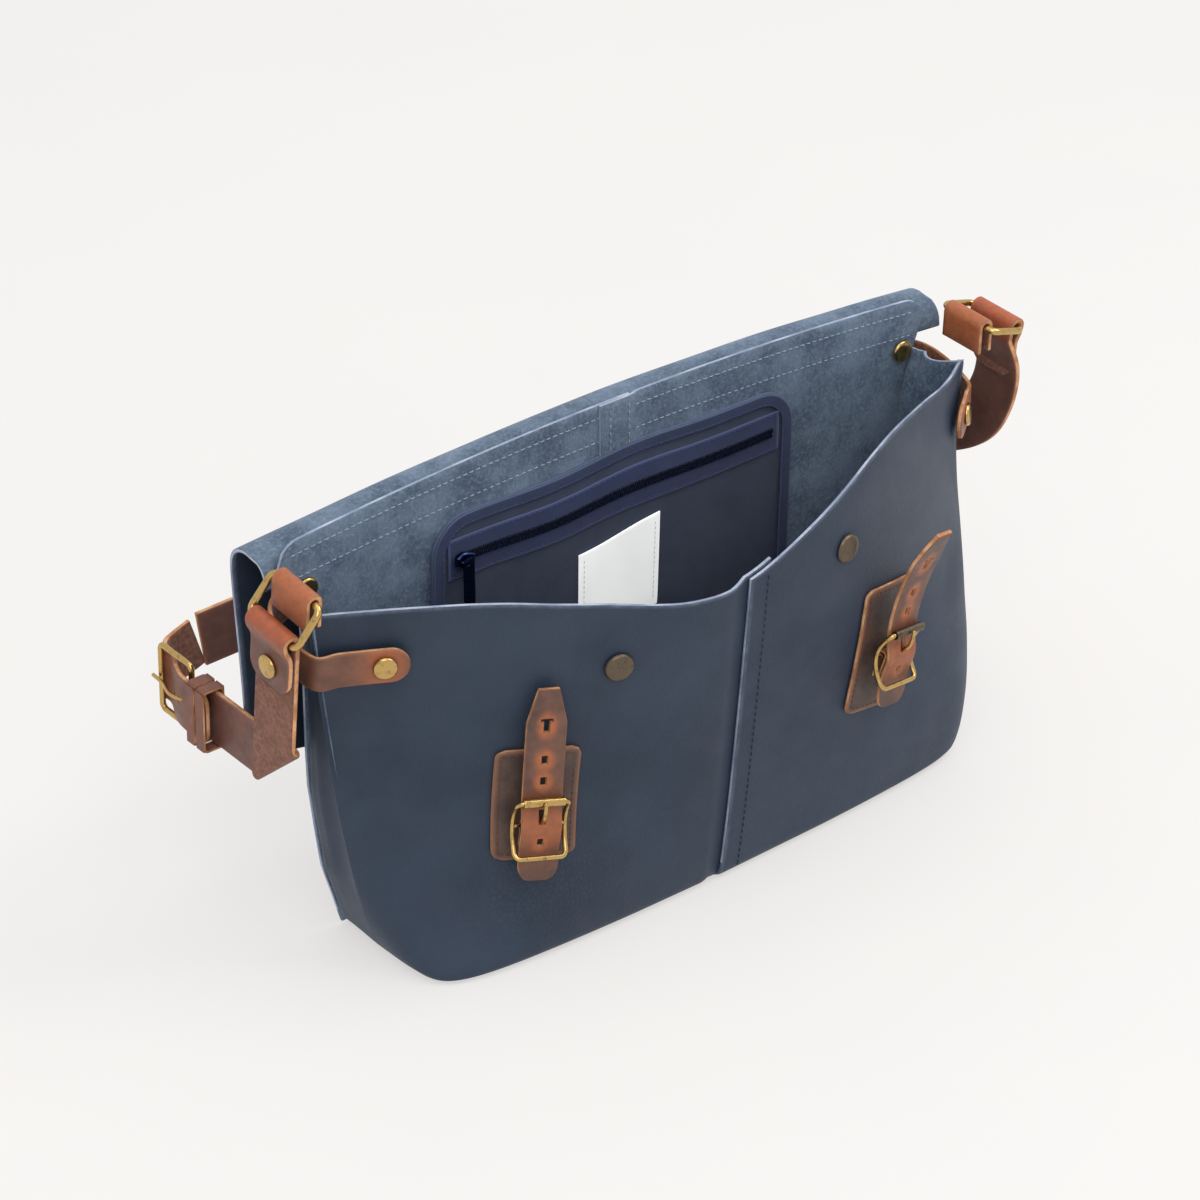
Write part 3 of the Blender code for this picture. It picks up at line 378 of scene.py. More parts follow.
# The label glows a little: painted light that keeps it bright white.
LABEL = woven("label_cloth", (236, 238, 235), (246, 247, 245), 0.35, 0.05, 0.3, 0.42)
TEETH = plastic("teeth_black", (20, 26, 44), 0.2)
SLIDER = metal("slider_enamel", (44, 60, 96), (18, 28, 52), 0.22)
NAVY_THREAD = thread("navy_thread", (52, 60, 80))
PALE_THREAD = thread("pale_thread", (150, 166, 186))
BLUE_THREAD = thread("blue_thread", (58, 68, 120))
BROWN_THREAD = thread("brown_thread", (112, 66, 44))
WHITE_THREAD = thread("white_thread", (206, 205, 196))
SKIN = [NAVY, SUEDE, RAW]
BROWN_SKIN = [BROWN, FLESH, TAN]
STRAP_SKIN = [STRAP, FLESH, TAN]


# Meshes -----------------------------------------------------------------------

def piece(name, verts, faces, materials, body, kinds=None, replaces=(), slot=None, marks=None, sharp=50):
    """A mesh from points in millimetres, riding on a body.

    kinds gives the place of each face's material in materials. marks holds a value per point
    for each attribute that the materials read.
    """
    mesh = bpy.data.meshes.new(name)
    points = [Vector(p) * MM for p in np.asarray(verts, float)]
    mesh.from_pydata(points, [], [list(map(int, face)) for face in faces])
    for material in materials:
        mesh.materials.append(material)
    if kinds is not None:
        mesh.polygons.foreach_set("material_index", np.asarray(kinds, int))
    for key, values in (marks or {}).items():
        mark = mesh.attributes.new(key, "FLOAT", "POINT")
        mark.data.foreach_set("value", np.asarray(values, np.float32))
    mesh.shade_smooth()
    mesh.set_sharp_from_angle(angle=math.radians(sharp))
    obj = bpy.data.objects.new(name, mesh)
    bpy.context.scene.collection.objects.link(obj)
    if body:
        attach(obj, body)
    if replaces:
        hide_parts(*replaces)
    return obj


def grid_normals(grid):
    """Unit normals of a grid of points, along its rows crossed with its columns."""
    n = np.cross(np.gradient(grid, axis=0), np.gradient(grid, axis=1))
    return n / np.maximum(np.linalg.norm(n, axis=2, keepdims=True), 1e-9)


EDGE_ROUND = 0.35
RIM_SHARE = 0.16
RIM_KINDS = (0, 2, 1)


def slab(outer, inner, holes=None, plain_ends=()):
    """Points, faces, kinds and edge marks of a closed sheet between two grids.

    Kinds are 0 on the outer face, 1 on the inner face and 2 along the middle of the rounded rim.
    holes marks grid cells to leave open. plain_ends lists the row ends that stay square.
    """
    outer, inner = np.asarray(outer, float), np.asarray(inner, float)
    rows, cols = outer.shape[:2]
    verts = [*outer.reshape(-1, 3), *inner.reshape(-1, 3)]
    back = rows * cols
    open_cell = np.zeros((rows - 1, cols - 1), bool) if holes is None else np.asarray(holes, bool)
    at = lambda i, j: i * cols + j
    faces, kinds = [], []
    for i in range(rows - 1):
        for j in range(cols - 1):
            if open_cell[i, j]:
                continue
            quad = [at(i, j), at(i + 1, j), at(i + 1, j + 1), at(i, j + 1)]
            faces += [quad, [back + k for k in reversed(quad)]]
            kinds += [0, 1]
    filled = lambda i, j: 0 <= i < rows - 1 and 0 <= j < cols - 1 and not open_cell[i, j]
    border = []
    for i in range(rows - 1):
        for j in range(cols):
            left, right = filled(i, j - 1), filled(i, j)
            if right and not left:
                border.append((at(i, j), at(i + 1, j), False))
            elif left and not right:
                border.append((at(i + 1, j), at(i, j), False))
    for i in range(rows):
        square = (i == 0 and 0 in plain_ends) or (i == rows - 1 and 1 in plain_ends)
        for j in range(cols - 1):
            below, above = filled(i - 1, j), filled(i, j)
            if above and not below:
                border.append((at(i, j + 1), at(i, j), square))
            elif below and not above:
                border.append((at(i, j), at(i, j + 1), square))
    flat = np.array(verts)
    edge = np.zeros(len(verts))
    push = np.zeros((back, 3))
    for a, b, square in border:
        along = flat[b] - flat[a]
        through = flat[a] - flat[back + a]
        outwards = np.cross(along, through)
        size = np.linalg.norm(outwards)
        if size > 1e-9 and not square:
            push[a] += outwards / size
            push[b] += outwards / size
    rim = {}
    for a, b, _ in border:
        for k in (a, b):
            edge[k] = edge[back + k] = 1.0
            if k not in rim:
                size = np.linalg.norm(push[k])
                out = push[k] / size if size > 1e-9 else np.zeros(3)
                through = flat[k] - flat[back + k]
                verts[k], verts[back + k] = flat[k] - out * EDGE_ROUND, flat[back + k] - out * EDGE_ROUND
                rim[k] = len(verts)
                verts += [flat[k] - through * RIM_SHARE, flat[back + k] + through * RIM_SHARE]
    for a, b, _ in border:
        chain_a = [a, rim[a], rim[a] + 1, back + a]
        chain_b = [b, rim[b], rim[b] + 1, back + b]
        for k, kind in enumerate(RIM_KINDS):
            faces.append([chain_b[k], chain_a[k], chain_a[k + 1], chain_b[k + 1]])
            kinds.append(kind)
    edge = np.r_[edge, np.ones(len(verts) - len(edge))]
    return np.array(verts), faces, kinds, edge


def soften(edge, outer_shape, reach, plain_ends=()):
    """Spread the edge mark of a grid inwards over a number of cells, but not from a square end."""
    rows, cols = outer_shape
    down, up = np.arange(rows), rows - 1 - np.arange(rows)
    down, up = (rows if end in plain_ends else step for end, step in ((0, down), (1, up)))
    near_edge = np.minimum.outer(np.minimum(down, up) + np.zeros(rows),
                                 np.minimum(np.arange(cols), cols - 1 - np.arange(cols)))
    value = np.clip(1 - near_edge / reach, 0, 1)
    for end, row in ((0, 0), (1, rows - 1)):
        if end in plain_ends:
            for start in (0, rows * cols):
                edge[start + row * cols + 1:start + (row + 1) * cols - 1] = 0
    value = value.reshape(-1)
    edge = edge.copy()
    count = rows * cols
    edge[:count] = np.maximum(edge[:count], value)
    edge[count:2 * count] = np.maximum(edge[count:2 * count], value)
    return edge


def sheet(name, grid, thickness, materials, body, flip=False, reach=1, plain_ends=(), dark_rim=None,
          **options):
    """A leather or cloth sheet whose outer face is the grid.

    flip says that the grid's normals point inwards, and reach is how many cells an edge's wear
    goes in. The rim takes the outer material at the points that dark_rim picks.
    """
    grid = np.asarray(grid, float)
    normal = grid_normals(grid) * (-1 if flip else 1)
    outer, inner = grid, grid - normal * thickness
    if flip:
        outer, inner = outer[:, ::-1], inner[:, ::-1]
    verts, faces, kinds, edge = slab(outer, inner, plain_ends=plain_ends)
    marks = {"edge": soften(edge, outer.shape[:2], reach, plain_ends)}
    if dark_rim:
        kinds = [0 if kind == 2 and dark_rim(verts[face[0]]) else kind for kind, face in zip(kinds, faces)]
    return piece(name, verts, faces, materials, body, kinds, marks=marks, **options)


def strap(name, path, across, width, thickness, materials, body, pull=None, bend=None, holes=None,
          sides=None, **options):
    """A flat strap along a centre line, whose outer face looks along path times across.

    width may differ from point to point. sides are the places across it, from -0.5 to 0.5, and
    bend moves its points at the end.
    """
    path = np.asarray(path, float)
    across = np.broadcast_to(np.asarray(across, float), path.shape)
    along = np.gradient(path, axis=0)
    along /= np.linalg.norm(along, axis=1, keepdims=True)
    across = across - along * np.sum(along * across, axis=1, keepdims=True)
    across = across / np.linalg.norm(across, axis=1, keepdims=True)
    normal = np.cross(along, across)
    width = np.broadcast_to(np.asarray(width, float), (len(path),))
    sides = np.linspace(-0.5, 0.5, 11) if sides is None else np.asarray(sides, float)
    flat = path[:, None] + across[:, None] * (sides[None, :, None] * width[:, None, None])
    outer = flat + normal[:, None] * thickness / 2
    inner = flat - normal[:, None] * thickness / 2
    if bend:
        outer, inner = bend(outer), bend(inner)
    verts, faces, kinds, edge = slab(outer, inner, holes)
    marks = {"edge": soften(edge, outer.shape[:2], 1) * 0.5}
    marks["edge"][2 * outer.shape[0] * outer.shape[1]:] = 1.0
    mark = np.zeros(len(path)) if pull is None else np.asarray(pull, float)
    if mark.ndim == 1:
        mark = np.repeat(mark[:, None], len(sides), axis=1)
    mark = mark.reshape(-1)
    marks["pull"] = np.r_[mark, mark, np.zeros(len(verts) - 2 * len(mark))]
    return piece(name, verts, faces, materials, body, kinds, marks=marks, **options)


def fold_over(points, start, heading, side, radius, angle):
    """Bend what lies past a line, heading away from it, round towards a side."""
    shape = points.shape
    pts = points.reshape(-1, 3)
    past = np.clip((pts - start) @ heading, 0, radius * angle)
    turn = past / radius
    centre = start + side * radius
    rel = pts - past[:, None] * heading - centre
    a, b = rel @ heading, rel @ side
    flat = rel - a[:, None] * heading - b[:, None] * side
    cos, sin = np.cos(turn), np.sin(turn)
    out = flat + (a * cos - b * sin)[:, None] * heading + (a * sin + b * cos)[:, None] * side
    return (out + centre).reshape(shape)


def basis(normal):
    """Two directions square to a normal, and the normal itself."""
    n = unit(normal)
    u = unit(np.cross(n, vec(0, 0, 1) if abs(n[2]) < 0.9 else vec(1, 0, 0)))
    return u, np.cross(n, u), n


def ring_faces(rows, count, loop=False, flip=False):
    """Faces between rings of points. A loop joins the last ring to the first; otherwise both
    ends are closed."""
    faces = []
    for i in range(rows if loop else rows - 1):
        near_ring, far_ring = i * count, (i + 1) % rows * count
        for k in range(count):
            m = (k + 1) % count
            quad = [near_ring + k, near_ring + m, far_ring + m, far_ring + k]
            faces.append([quad[1], quad[0], quad[3], quad[2]] if flip else quad)
    if not loop:
        ends = [list(range(count))[::-1], [(rows - 1) * count + k for k in range(count)]]
        faces += [end[::-1] for end in ends] if flip else ends
    return faces


def turned(name, centre, axis, profile, material, body, sides=40, **options):
    """A round piece from (radius, height) points, from its foot to its top."""
    u, v, n = basis(axis)
    fine = spline([(r, h) for r, h in profile], 0.35)
    fine = fine[fine[:, 0] > 0.02]
    ring = np.linspace(0, 2 * math.pi, sides, endpoint=False)
    circle = np.cos(ring)[:, None] * u + np.sin(ring)[:, None] * v
    verts = [centre + r * c + h * n for r, h in fine for c in circle]
    return piece(name, verts, ring_faces(len(fine), sides), [material], body, sharp=35, **options)


def tube_mesh(path, radius, closed, sides=14):
    """Points and faces of a round wire along a path. A closed one joins up without a twist."""
    path = np.asarray(path, float)
    count = len(path)
    radius = np.broadcast_to(np.asarray(radius, float), (count,))
    verts, across = [], None
    for i, p in enumerate(path):
        ahead = path[(i + 1) % count] if closed or i < count - 1 else p
        behind = path[i - 1] if closed or i > 0 else p
        along = unit(ahead - behind)
        if across is None:
            across = basis(along)[0]
        across = unit(across - along * (along @ across))
        other = np.cross(along, across)
        for k in range(sides):
            a = 2 * math.pi * k / sides
            verts.append(p + radius[i] * (math.cos(a) * across + math.sin(a) * other))
    faces = ring_faces(count, sides, loop=closed)
    if closed:
        first, last = np.array(verts[:sides]), np.array(verts[-sides:])
        shift = min(range(sides), key=lambda s: np.linalg.norm(np.roll(first, -s, axis=0) - last))
        faces[-sides:] = [[a, b, (c + shift) % sides, (d + shift) % sides] for a, b, c, d in faces[-sides:]]
    return verts, faces


def tube(name, path, radius, material, body, closed=False, **options):
    verts, faces = tube_mesh(path, radius, closed)
    return piece(name, verts, faces, [material], body, **options)


def stitches(name, path, normals, material, body, length=3.4, gap=1.1, radius=0.42, lift=0.1, **options):
    """A row of separate stitches lying along a path on a surface."""
    path = np.asarray(path, float)
    run = run_along(path)
    normals = np.broadcast_to(np.asarray(normals, float), path.shape)
    at = lambda s: np.array([np.interp(s, run, path[:, k]) for k in range(3)])
    face = lambda s: unit([np.interp(s, run, normals[:, k]) for k in range(3)])
    verts, faces = [], []
    start = gap
    while start + length < run[-1]:
        middle = []
        for t in np.linspace(0, 1, 5):
            rise = lift - 0.55 * (2 * t - 1) ** 4
            middle.append(at(start + t * length) + face(start + t * length) * rise)
        part, quads = tube_mesh(middle, radius * np.array([0.6, 0.95, 1.0, 0.95, 0.6]), False, 6)
        faces += [[k + len(verts) for k in q] for q in quads]
        verts += part
        start += length + gap
    return piece(name, verts, faces, [material], body, **options)


def rounded_loop(half_u, half_v, corner, steps=8):
    """Points (u, v) round a rectangle with rounded corners."""
    pts = []
    for k, (su, sv) in enumerate([(1, 1), (-1, 1), (-1, -1), (1, -1)]):
        for i in range(steps + 1):
            a = math.pi / 2 * (k + i / steps)
            pts.append((su * (half_u - corner) + corner * math.cos(a),
                        sv * (half_v - corner) + corner * math.sin(a)))
    return pts


# Body shell -------------------------------------------------------------------

LEATHER = 2.2
BASE_HALF = 170.0
MOUTH_HALF = 211.0
MOUTH_Z = 215.0
BASE_DEPTH = 59.0
MOUTH_DEPTH = 82.0
BASE_BOW = 8.0
BACK_TOP_Z = 236.0
BACK_CORNER_DROP = 8.0
BACK_LAP_X = -9.0
BACK_LAP_WIDTH = 20.0
# Heights of the front's raw edge, as (x, z).
MOUTH_EDGE = (
    (-211, 205), (-163, 204), (-129, 202), (-94, 195), (-75, 191), (-55, 185), (-34, 181), (-10, 181),
    (14, 190), (42, 201), (75, 211), (95, 215), (117, 215), (144, 212), (176, 204), (205, 199), (214, 203),
)
GROOVE = 9.0
LAP_X = -4.0
LAP_WIDTH = 14.0
SEAM_REACH = 22.0
SEAM_STITCH = 11.0
FOLD_LOW = 6.0
GROUND = 0.25
BACK_FOOT_Y = 44.0
BACK_HEAD_Y = 37.0
# Half widths of the back, as (z, half width).
BACK_HALVES = ((0, 172), (40, 184), (90, 191), (180, 193), (215, 203), (240, 208))
# Columns of the shell's grid across its lap, its front and corner, and its end.
LEAD_COLUMNS = 10
WALL_COLUMNS = 128
END_COLUMNS = 15
SHELL_ROWS = 92
WALL_REACH = 200.0
# The rim is dark below the first height, and behind a depth below the second height.
DARK_FOOT_Z = 9.0
DARK_END_Y = 12.0
DARK_END_Z = 196.0

SIDE = {-1: "left", 1: "right"}
BUCKLE_X = {"left": -114.0, "right": 92.0}
BUCKLE_TILT = {"left": math.radians(-5.5), "right": math.radians(-8.0)}
BAR_Z = {"left": 79.0, "right": 106.0}
CAPS = {"left": (-74.0, 155.5), "right": (62.0, 175.5)}
BAND_RIVETS = [(-177, 176), (193, 180)]
# Places (x, z) where a fitting holds the front's leather smooth.
FITTED = [*((x, BAR_Z[side] + 10) for side, x in BUCKLE_X.items()), *CAPS.values(), *BAND_RIVETS]


def section(z, count, right=False):
    """The left half of the front and end wall at a height, front centre to end groove.

    With right it is the right half, mirrored: that half stays fuller at its middle heights.
    """
    w = min(max(z / MOUTH_Z, 0.0), 1.05)
    below = min(w, 1.0)
    half = lerp(BASE_HALF, MOUTH_HALF, below ** 0.55)
    centre = lerp(6, 4, w)
    depth = lerp(BASE_DEPTH, MOUTH_DEPTH, w ** 0.8)
    phi = np.linspace(0, math.pi / 2, 400)
    rounding = below ** 1.3 if right else 1 - (1 - below) ** 3.5
    x = -half * np.sin(phi) ** lerp(0.17, 1.07, rounding)
    bow = lerp(BASE_BOW, 0, below)
    y = centre - (depth - bow * (x / half) ** 2) * np.cos(phi) ** lerp(0.20, 2.4, rounding)
    run = np.r_[0, np.cumsum(np.hypot(np.diff(x), np.diff(y)))]
    t = np.linspace(0, run[-1], count)
    return np.stack([np.interp(t, run, x), np.interp(t, run, y)], 1)


LEVELS = np.linspace(0, BACK_TOP_Z, 119)
WALLS = {right: np.array([section(z, 161, right) for z in LEVELS]) for right in (False, True)}


def wall_curve(z, right):
    """The wall's section at any height, between the two nearest levels."""
    level = np.clip(z / LEVELS[1], 0, len(LEVELS) - 1.001)
    i, part = int(level), level - int(level)
    return WALLS[right][i] * (1 - part) + WALLS[right][i + 1] * part


def wall_at(share, z, right):
    """Point (x, y) of the wall at a share of the way from front centre to end groove."""
    curve = wall_curve(z, right)
    k = share * (len(curve) - 1)
    return np.array([np.interp(k, np.arange(len(curve)), curve[:, c]) for c in (0, 1)])


def share_at(distance, z, right):
    """The share of the wall that lies within a distance in X of the front centre."""
    curve = wall_curve(z, right)
    return float(np.interp(distance, -curve[:, 0], np.linspace(0, 1, len(curve))))


def mouth_z(x):
    """Height of the front's raw edge, which sags near the middle and at its right end."""
    spread = x + np.linspace(-14, 14, 7)
    return float(np.interp(spread, *zip(*MOUTH_EDGE)).mean())


def front_y(x, z):
    """Depth of the front's outer face at a place."""
    curve = wall_curve(z, x > 0)
    return float(np.interp(-abs(x), curve[::-1, 0], curve[::-1, 1]))


def front_frame(x, z):
    """Point, outward normal, sideways and upward directions of the front's face."""
    p = vec(x, front_y(x, z), z)
    dx = unit(vec(8, front_y(x + 4, z) - front_y(x - 4, z), 0))
    dz = unit(vec(0, front_y(x, z + 8) - front_y(x, z - 8), 16))
    n = unit(np.cross(dx, dz))
    return p, n, dx, unit(np.cross(n, dx))


def back_half(z):
    """Half width of the back at a height."""
    return float(np.interp(z, *zip(*BACK_HALVES)))


def back_y(x, z):
    """Depth of the back's outer face, which leans and bows a little forwards."""
    return lerp(BACK_FOOT_Y, BACK_HEAD_Y, min(z / MOUTH_Z, 1.0)) - 4 * (x / MOUTH_HALF) ** 2


def back_top(x):
    """Height of the back's top edge, which drops a little towards its corners."""
    return BACK_TOP_Z - BACK_CORNER_DROP * (x / MOUTH_HALF) ** 2


def lap_dip(x):
    """How far the left half passes inwards under the right half at the front seam."""
    return (LEATHER + GAP) * smooth((x - (LAP_X - 12)) / 10.0)


def ground_fold(z):
    """How far the wall has turned in under the bag near the ground."""
    below = max(0.0, FOLD_LOW - z)
    return FOLD_LOW - math.sqrt(max(FOLD_LOW ** 2 - below ** 2, 0.0))


def shell_half(sign):
    """Front, corner and end of one half as one skin, from the front lap to the back corner."""
    right = sign > 0
    x_start = LAP_X if right else LAP_X + LAP_WIDTH
    lead = [lerp(x_start, sign * SEAM_REACH, k / LEAD_COLUMNS) for k in range(LEAD_COLUMNS)]
    columns = []
    for z in np.linspace(0, 1, SHELL_ROWS):
        row = []
        for x in lead:
            top = mouth_z(x) + (0.0 if right or x <= LAP_X - 4 else 1.6)
            height = lerp(GROUND, top, z)
            y = front_y(x, height) + (0.0 if right else lap_dip(x))
            row.append((x, y, height))
        for share in np.linspace(0, 1, WALL_COLUMNS):
            x = -SEAM_REACH - share * (WALL_REACH - SEAM_REACH)
            for _ in range(3):
                height = lerp(GROUND, mouth_z(-sign * x), z)
                x, y = wall_at(lerp(share_at(SEAM_REACH, height, right), 1.0, share), height, right)
            row.append((-sign * x, y, height))
        x_end, y_end, height = row[-1]
        half = back_half(height)
        y_back = back_y(MOUTH_HALF, height)
        gut = GROOVE * height / MOUTH_Z
        for share in np.linspace(0, 1, END_COLUMNS)[1:]:
            inset = gut * math.sin(math.pi * min(share / 0.7, 1.0)) ** 0.9 if share < 0.7 else 0.0
            x = lerp(abs(x_end), half, smooth(share)) - inset
            y = lerp(y_end, y_back - LEATHER - 2 * GAP, share)
            row.append((sign * x, y, height))
        columns.append(row)
    grid = np.array(columns)
    normal = grid_normals(grid) * -sign
    z = grid[:, :, 2]
    x = grid[:, :, 0]
    fold = np.vectorize(ground_fold)(z)
    flat = normal.copy()
    flat[:, :, 2] = 0
    flat /= np.maximum(np.linalg.norm(flat, axis=2, keepdims=True), 1e-9)
    grid = grid - flat * fold[:, :, None]
    free = smooth(z / 40.0) * smooth(np.abs(x - LAP_X) / 40.0)
    slack = wander(grid * vec(1, 1, 0.6), 62.0, 3) * 1.3 + wander(grid, 26.0, 5) * 0.35
    fitted = np.ones_like(z)
    for bx, bz in FITTED:
        fitted *= smooth((np.hypot(x - bx, (z - bz) / 1.5) - 20.0) / 25.0)
    grid = grid + normal * (slack * free * fitted - 0.3)[:, :, None]
    side = SIDE[sign]
    return sheet(f"shell_{side}", grid, LEATHER, SKIN, "root", flip=right, slot="navy_leather",
                 replaces=[f"front_panel_{side}", f"end_panel_{side}"],
                 dark_rim=lambda p: p[2] < DARK_FOOT_Z or (p[1] > DARK_END_Y and p[2] < DARK_END_Z))


def back_half_panel(sign):
    """One half of the back: suede inside, with its top corner rounded and its edge raw.

    The right half lies over the left half inside, along the middle lap.
    """
    rows, cols, corner = 60, 64, 13.0
    inner_x = BACK_LAP_X + (BACK_LAP_WIDTH if sign < 0 else 0.0)
    grid = np.zeros((rows, cols, 3))
    for i, t in enumerate(np.linspace(0, 1, rows)):
        for j, u in enumerate(np.linspace(0, 1, cols)):
            top = BACK_TOP_Z
            for _ in range(2):
                x = lerp(inner_x, sign * back_half(lerp(0.3, top, t)), u)
                top = back_top(x)
            past = max(0.0, abs(x) - (back_half(top) - corner))
            z = lerp(0.3, top, t)
            z -= t ** 8 * (corner - math.sqrt(max(corner ** 2 - min(past, corner) ** 2, 0.0)))
            lap = 1.7 * smooth((BACK_LAP_X + BACK_LAP_WIDTH + 5 - x) / 6.0) if sign > 0 else 0.0
            grid[i, j] = (x, back_y(x, z) - lap, z)
    z = grid[:, :, 2]
    slack = wander(grid, 70.0, 9) * smooth((z - 20) / 60.0) * smooth((225 - z) / 30.0)
    grid[:, :, 1] -= np.abs(slack) * 0.8
    side = SIDE[sign]
    return sheet(f"back_{side}", grid, LEATHER, SKIN, "root", flip=sign < 0, slot="navy_leather",
                 replaces=[f"back_panel_{side}"], dark_rim=lambda p: p[2] < DARK_FOOT_Z)


def base():
    """The bottom, turned in at its edge, and the stiff board that lies on it."""
    half = [(x, y) for x, y in section(0, 60) if y < 0]
    half += [(-BASE_HALF - 1, 0), (-back_half(0), back_y(BASE_HALF, 0)), (0, back_y(0, 0))]
    outline = np.array(half + [(-x, y) for x, y in reversed(half[1:-1])])
    middle = vec(0, (BACK_FOOT_Y - BASE_DEPTH) / 2)
    for name, shrink, low, high, material, slot, node in (
            ("base_leather", 5.4, 0.0, LEATHER, NAVY, "navy_leather", "base_panel"),
            ("base_stiffener", 9.0, LEATHER + GAP, LEATHER + GAP + 2, SUEDE, "board", "base_board")):
        reach = np.abs(outline - middle).max(axis=0)
        loop = middle + (outline - middle) * (1 - shrink / reach)
        inset = middle + (loop - middle) * (1 - 0.8 / reach)
        rings = [(inset, low), (loop, low + 0.5), (loop, high - 0.5), (inset, high)]
        verts = [(x, y, z) for ring, z in rings for x, y in ring]
        faces = ring_faces(len(rings), len(loop), flip=True)
        piece(name, verts, faces, [material], "root", replaces=[node], slot=slot)


def front_seam():
    """The front lap's stitch row, pressed into the right half along its raw edge."""
    x = LAP_X + SEAM_STITCH
    path, normals = [], []
    for z in np.linspace(4, mouth_z(x) - 3, 60):
        p, n, _, _ = front_frame(x, z)
        path.append(p - n * 0.25)
        normals.append(n)
    stitches("seam_stitches", path, normals, NAVY_THREAD, "root", length=3.2, gap=0.9, radius=0.36,
             lift=0.25)


# Flap -------------------------------------------------------------------------

FLAP_T = 2.2
FLAP_HALF = 211.0
LIP_HALF = 163.0
LIP_CORNER = 30.0
FLAP_AXIS = (0.0, 62.0, 240.0)
FLAP_TOP_Z = 214.0
FLAP_FOLD_Z = 92.0
LIP_END_Z = 42.0
FLAP_LEAN = 0.05
FLAP_SEWN_Z = 208.5
FLAP_SPLIT_Z = 152.0
CREST_DROP = 11.0
CREST_SEWN_SHARE = 0.1
CREST_SPREAD = 8.0
LIP_SHOULDER = 14.0
STUD_Z = 58.0
STUD_PROFILE = ((4, 0), (4, 0.8), (1.9, 1.1), (1.9, 2.6), (3.2, 3.4), (3.2, 4.6), (1.8, 5.6))


def flap_y(z):
    """Depth of the flap's centre line where it hangs behind the bag."""
    return FLAP_AXIS[1] - FLAP_LEAN * (FLAP_TOP_Z - z)


def flap_profile():
    """The flap's centre line (y, z), from its sewn edge over the crest and down to its lip."""
    sewn_y = BACK_HEAD_Y + GAP
    crest_y = (sewn_y + FLAP_T / 2 + FLAP_AXIS[1]) / 2
    radius = FLAP_AXIS[1] - crest_y
    arc = np.linspace(math.pi, 0, 15)
    rise = FLAP_TOP_Z + GAP + 6
    path = [(sewn_y + FLAP_T / 2, FLAP_SEWN_Z)]
    path += [(crest_y + radius * math.cos(a), rise + radius * math.sin(a)) for a in arc]
    path += [(flap_y(z), z) for z in (FLAP_TOP_Z - 2, 190, 170, FLAP_SPLIT_Z)]
    return spline(path, 2.4)


def crest_drop(x, y, z):
    """How far a place on the flap's upper piece droops towards the flap's two ends."""
    if y < 45:
        share = lerp(CREST_SEWN_SHARE, 1.0, smooth((z - FLAP_SEWN_Z) / 11.0))
    else:
        share = smooth((z - FLAP_SPLIT_Z) / (FLAP_TOP_Z - FLAP_SPLIT_Z))
    return CREST_DROP * share * (x / FLAP_HALF) ** 2


def crest_spread(sign, y, z):
    """How far the right half of the crest reaches past the flap's hanging part."""
    if sign < 0:
        return 0.0
    return CREST_SPREAD * (1.0 if y < 45 else smooth((z - 160) / 50.0))


def flap_half_width(z):
    """Half width of the flap at a height of its hanging part."""
    if z >= FLAP_FOLD_Z + LIP_SHOULDER:
        return FLAP_HALF
    if z >= FLAP_FOLD_Z:
        return lerp(LIP_HALF, FLAP_HALF, smooth((z - FLAP_FOLD_Z) / LIP_SHOULDER))
    drop = max(0.0, LIP_CORNER - (z - LIP_END_Z))
    return LIP_HALF - LIP_CORNER + math.sqrt(max(LIP_CORNER ** 2 - drop ** 2, 0.0)) + 0.02


def flap_sheet(name, grid, sign, **options):
    """A sheet centred on a grid of one flap half, which waves where it hangs behind the back."""
    hang = smooth((200 - grid[:, :, 2]) / 60.0) * (grid[:, :, 1] > 50)
    crest = smooth((grid[:, :, 2] - 214) / 12.0)
    grid[:, :, 1] += wander(grid * vec(1, 0.2, 0.3), 75.0, 11) * 1.6 * hang
    grid[:, :, 2] += wander(grid * vec(1, 0, 0), 80.0, 13) * 1.2 * crest - 1.2 * crest
    outer = grid - grid_normals(grid) * FLAP_T / 2 * sign
    return sheet(f"{name}_{SIDE[sign]}", outer, FLAP_T, [SUEDE, NAVY, RAW], None, flip=sign > 0, **options)


def flap():
    """Two halves, each an upper piece over the crest and a lower piece that narrows at its shoulder to the
    lip.
    """
    upper = flap_profile()
    lower = np.array([(flap_y(z), z) for z in np.linspace(FLAP_SPLIT_Z, LIP_END_Z, 46)])
    us = np.linspace(0, 1, 70)
    for sign, side in SIDE.items():
        grid = np.zeros((len(upper), len(us), 3))
        for i, (y, z) in enumerate(upper):
            for j, u in enumerate(us):
                x = lerp(LAP_X, sign * (FLAP_HALF + crest_spread(sign, y, z)), u)
                grid[i, j] = (x, y - 4 * (x / FLAP_HALF) ** 2 * (y < 45), z - crest_drop(x, y, z))
        obj = flap_sheet("flap_upper", grid, sign, slot="suede", plain_ends=(1,),
                         replaces=[f"flap_crest_{side}"])
        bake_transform(obj)
        grid = np.array([[(lerp(LAP_X, sign * flap_half_width(z), u), y, z) for u in us] for y, z in lower])
        obj = flap_sheet("flap_lower", grid, sign, slot="navy_leather", plain_ends=(0,),
                         replaces=[f"flap_top_{side}", f"flap_lip_{side}"])
        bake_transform(obj)
    for side, x in BUCKLE_X.items():
        face = vec(x, flap_y(STUD_Z) - FLAP_T / 2 - GAP, STUD_Z)
        turned(f"flap_stud_head_{side}", face, (0, -1, 0), STUD_PROFILE, BRASS, "flap_lip",
               replaces=[f"flap_stud_{side}"], slot="brass")


# Front fittings ---------------------------------------------------------------

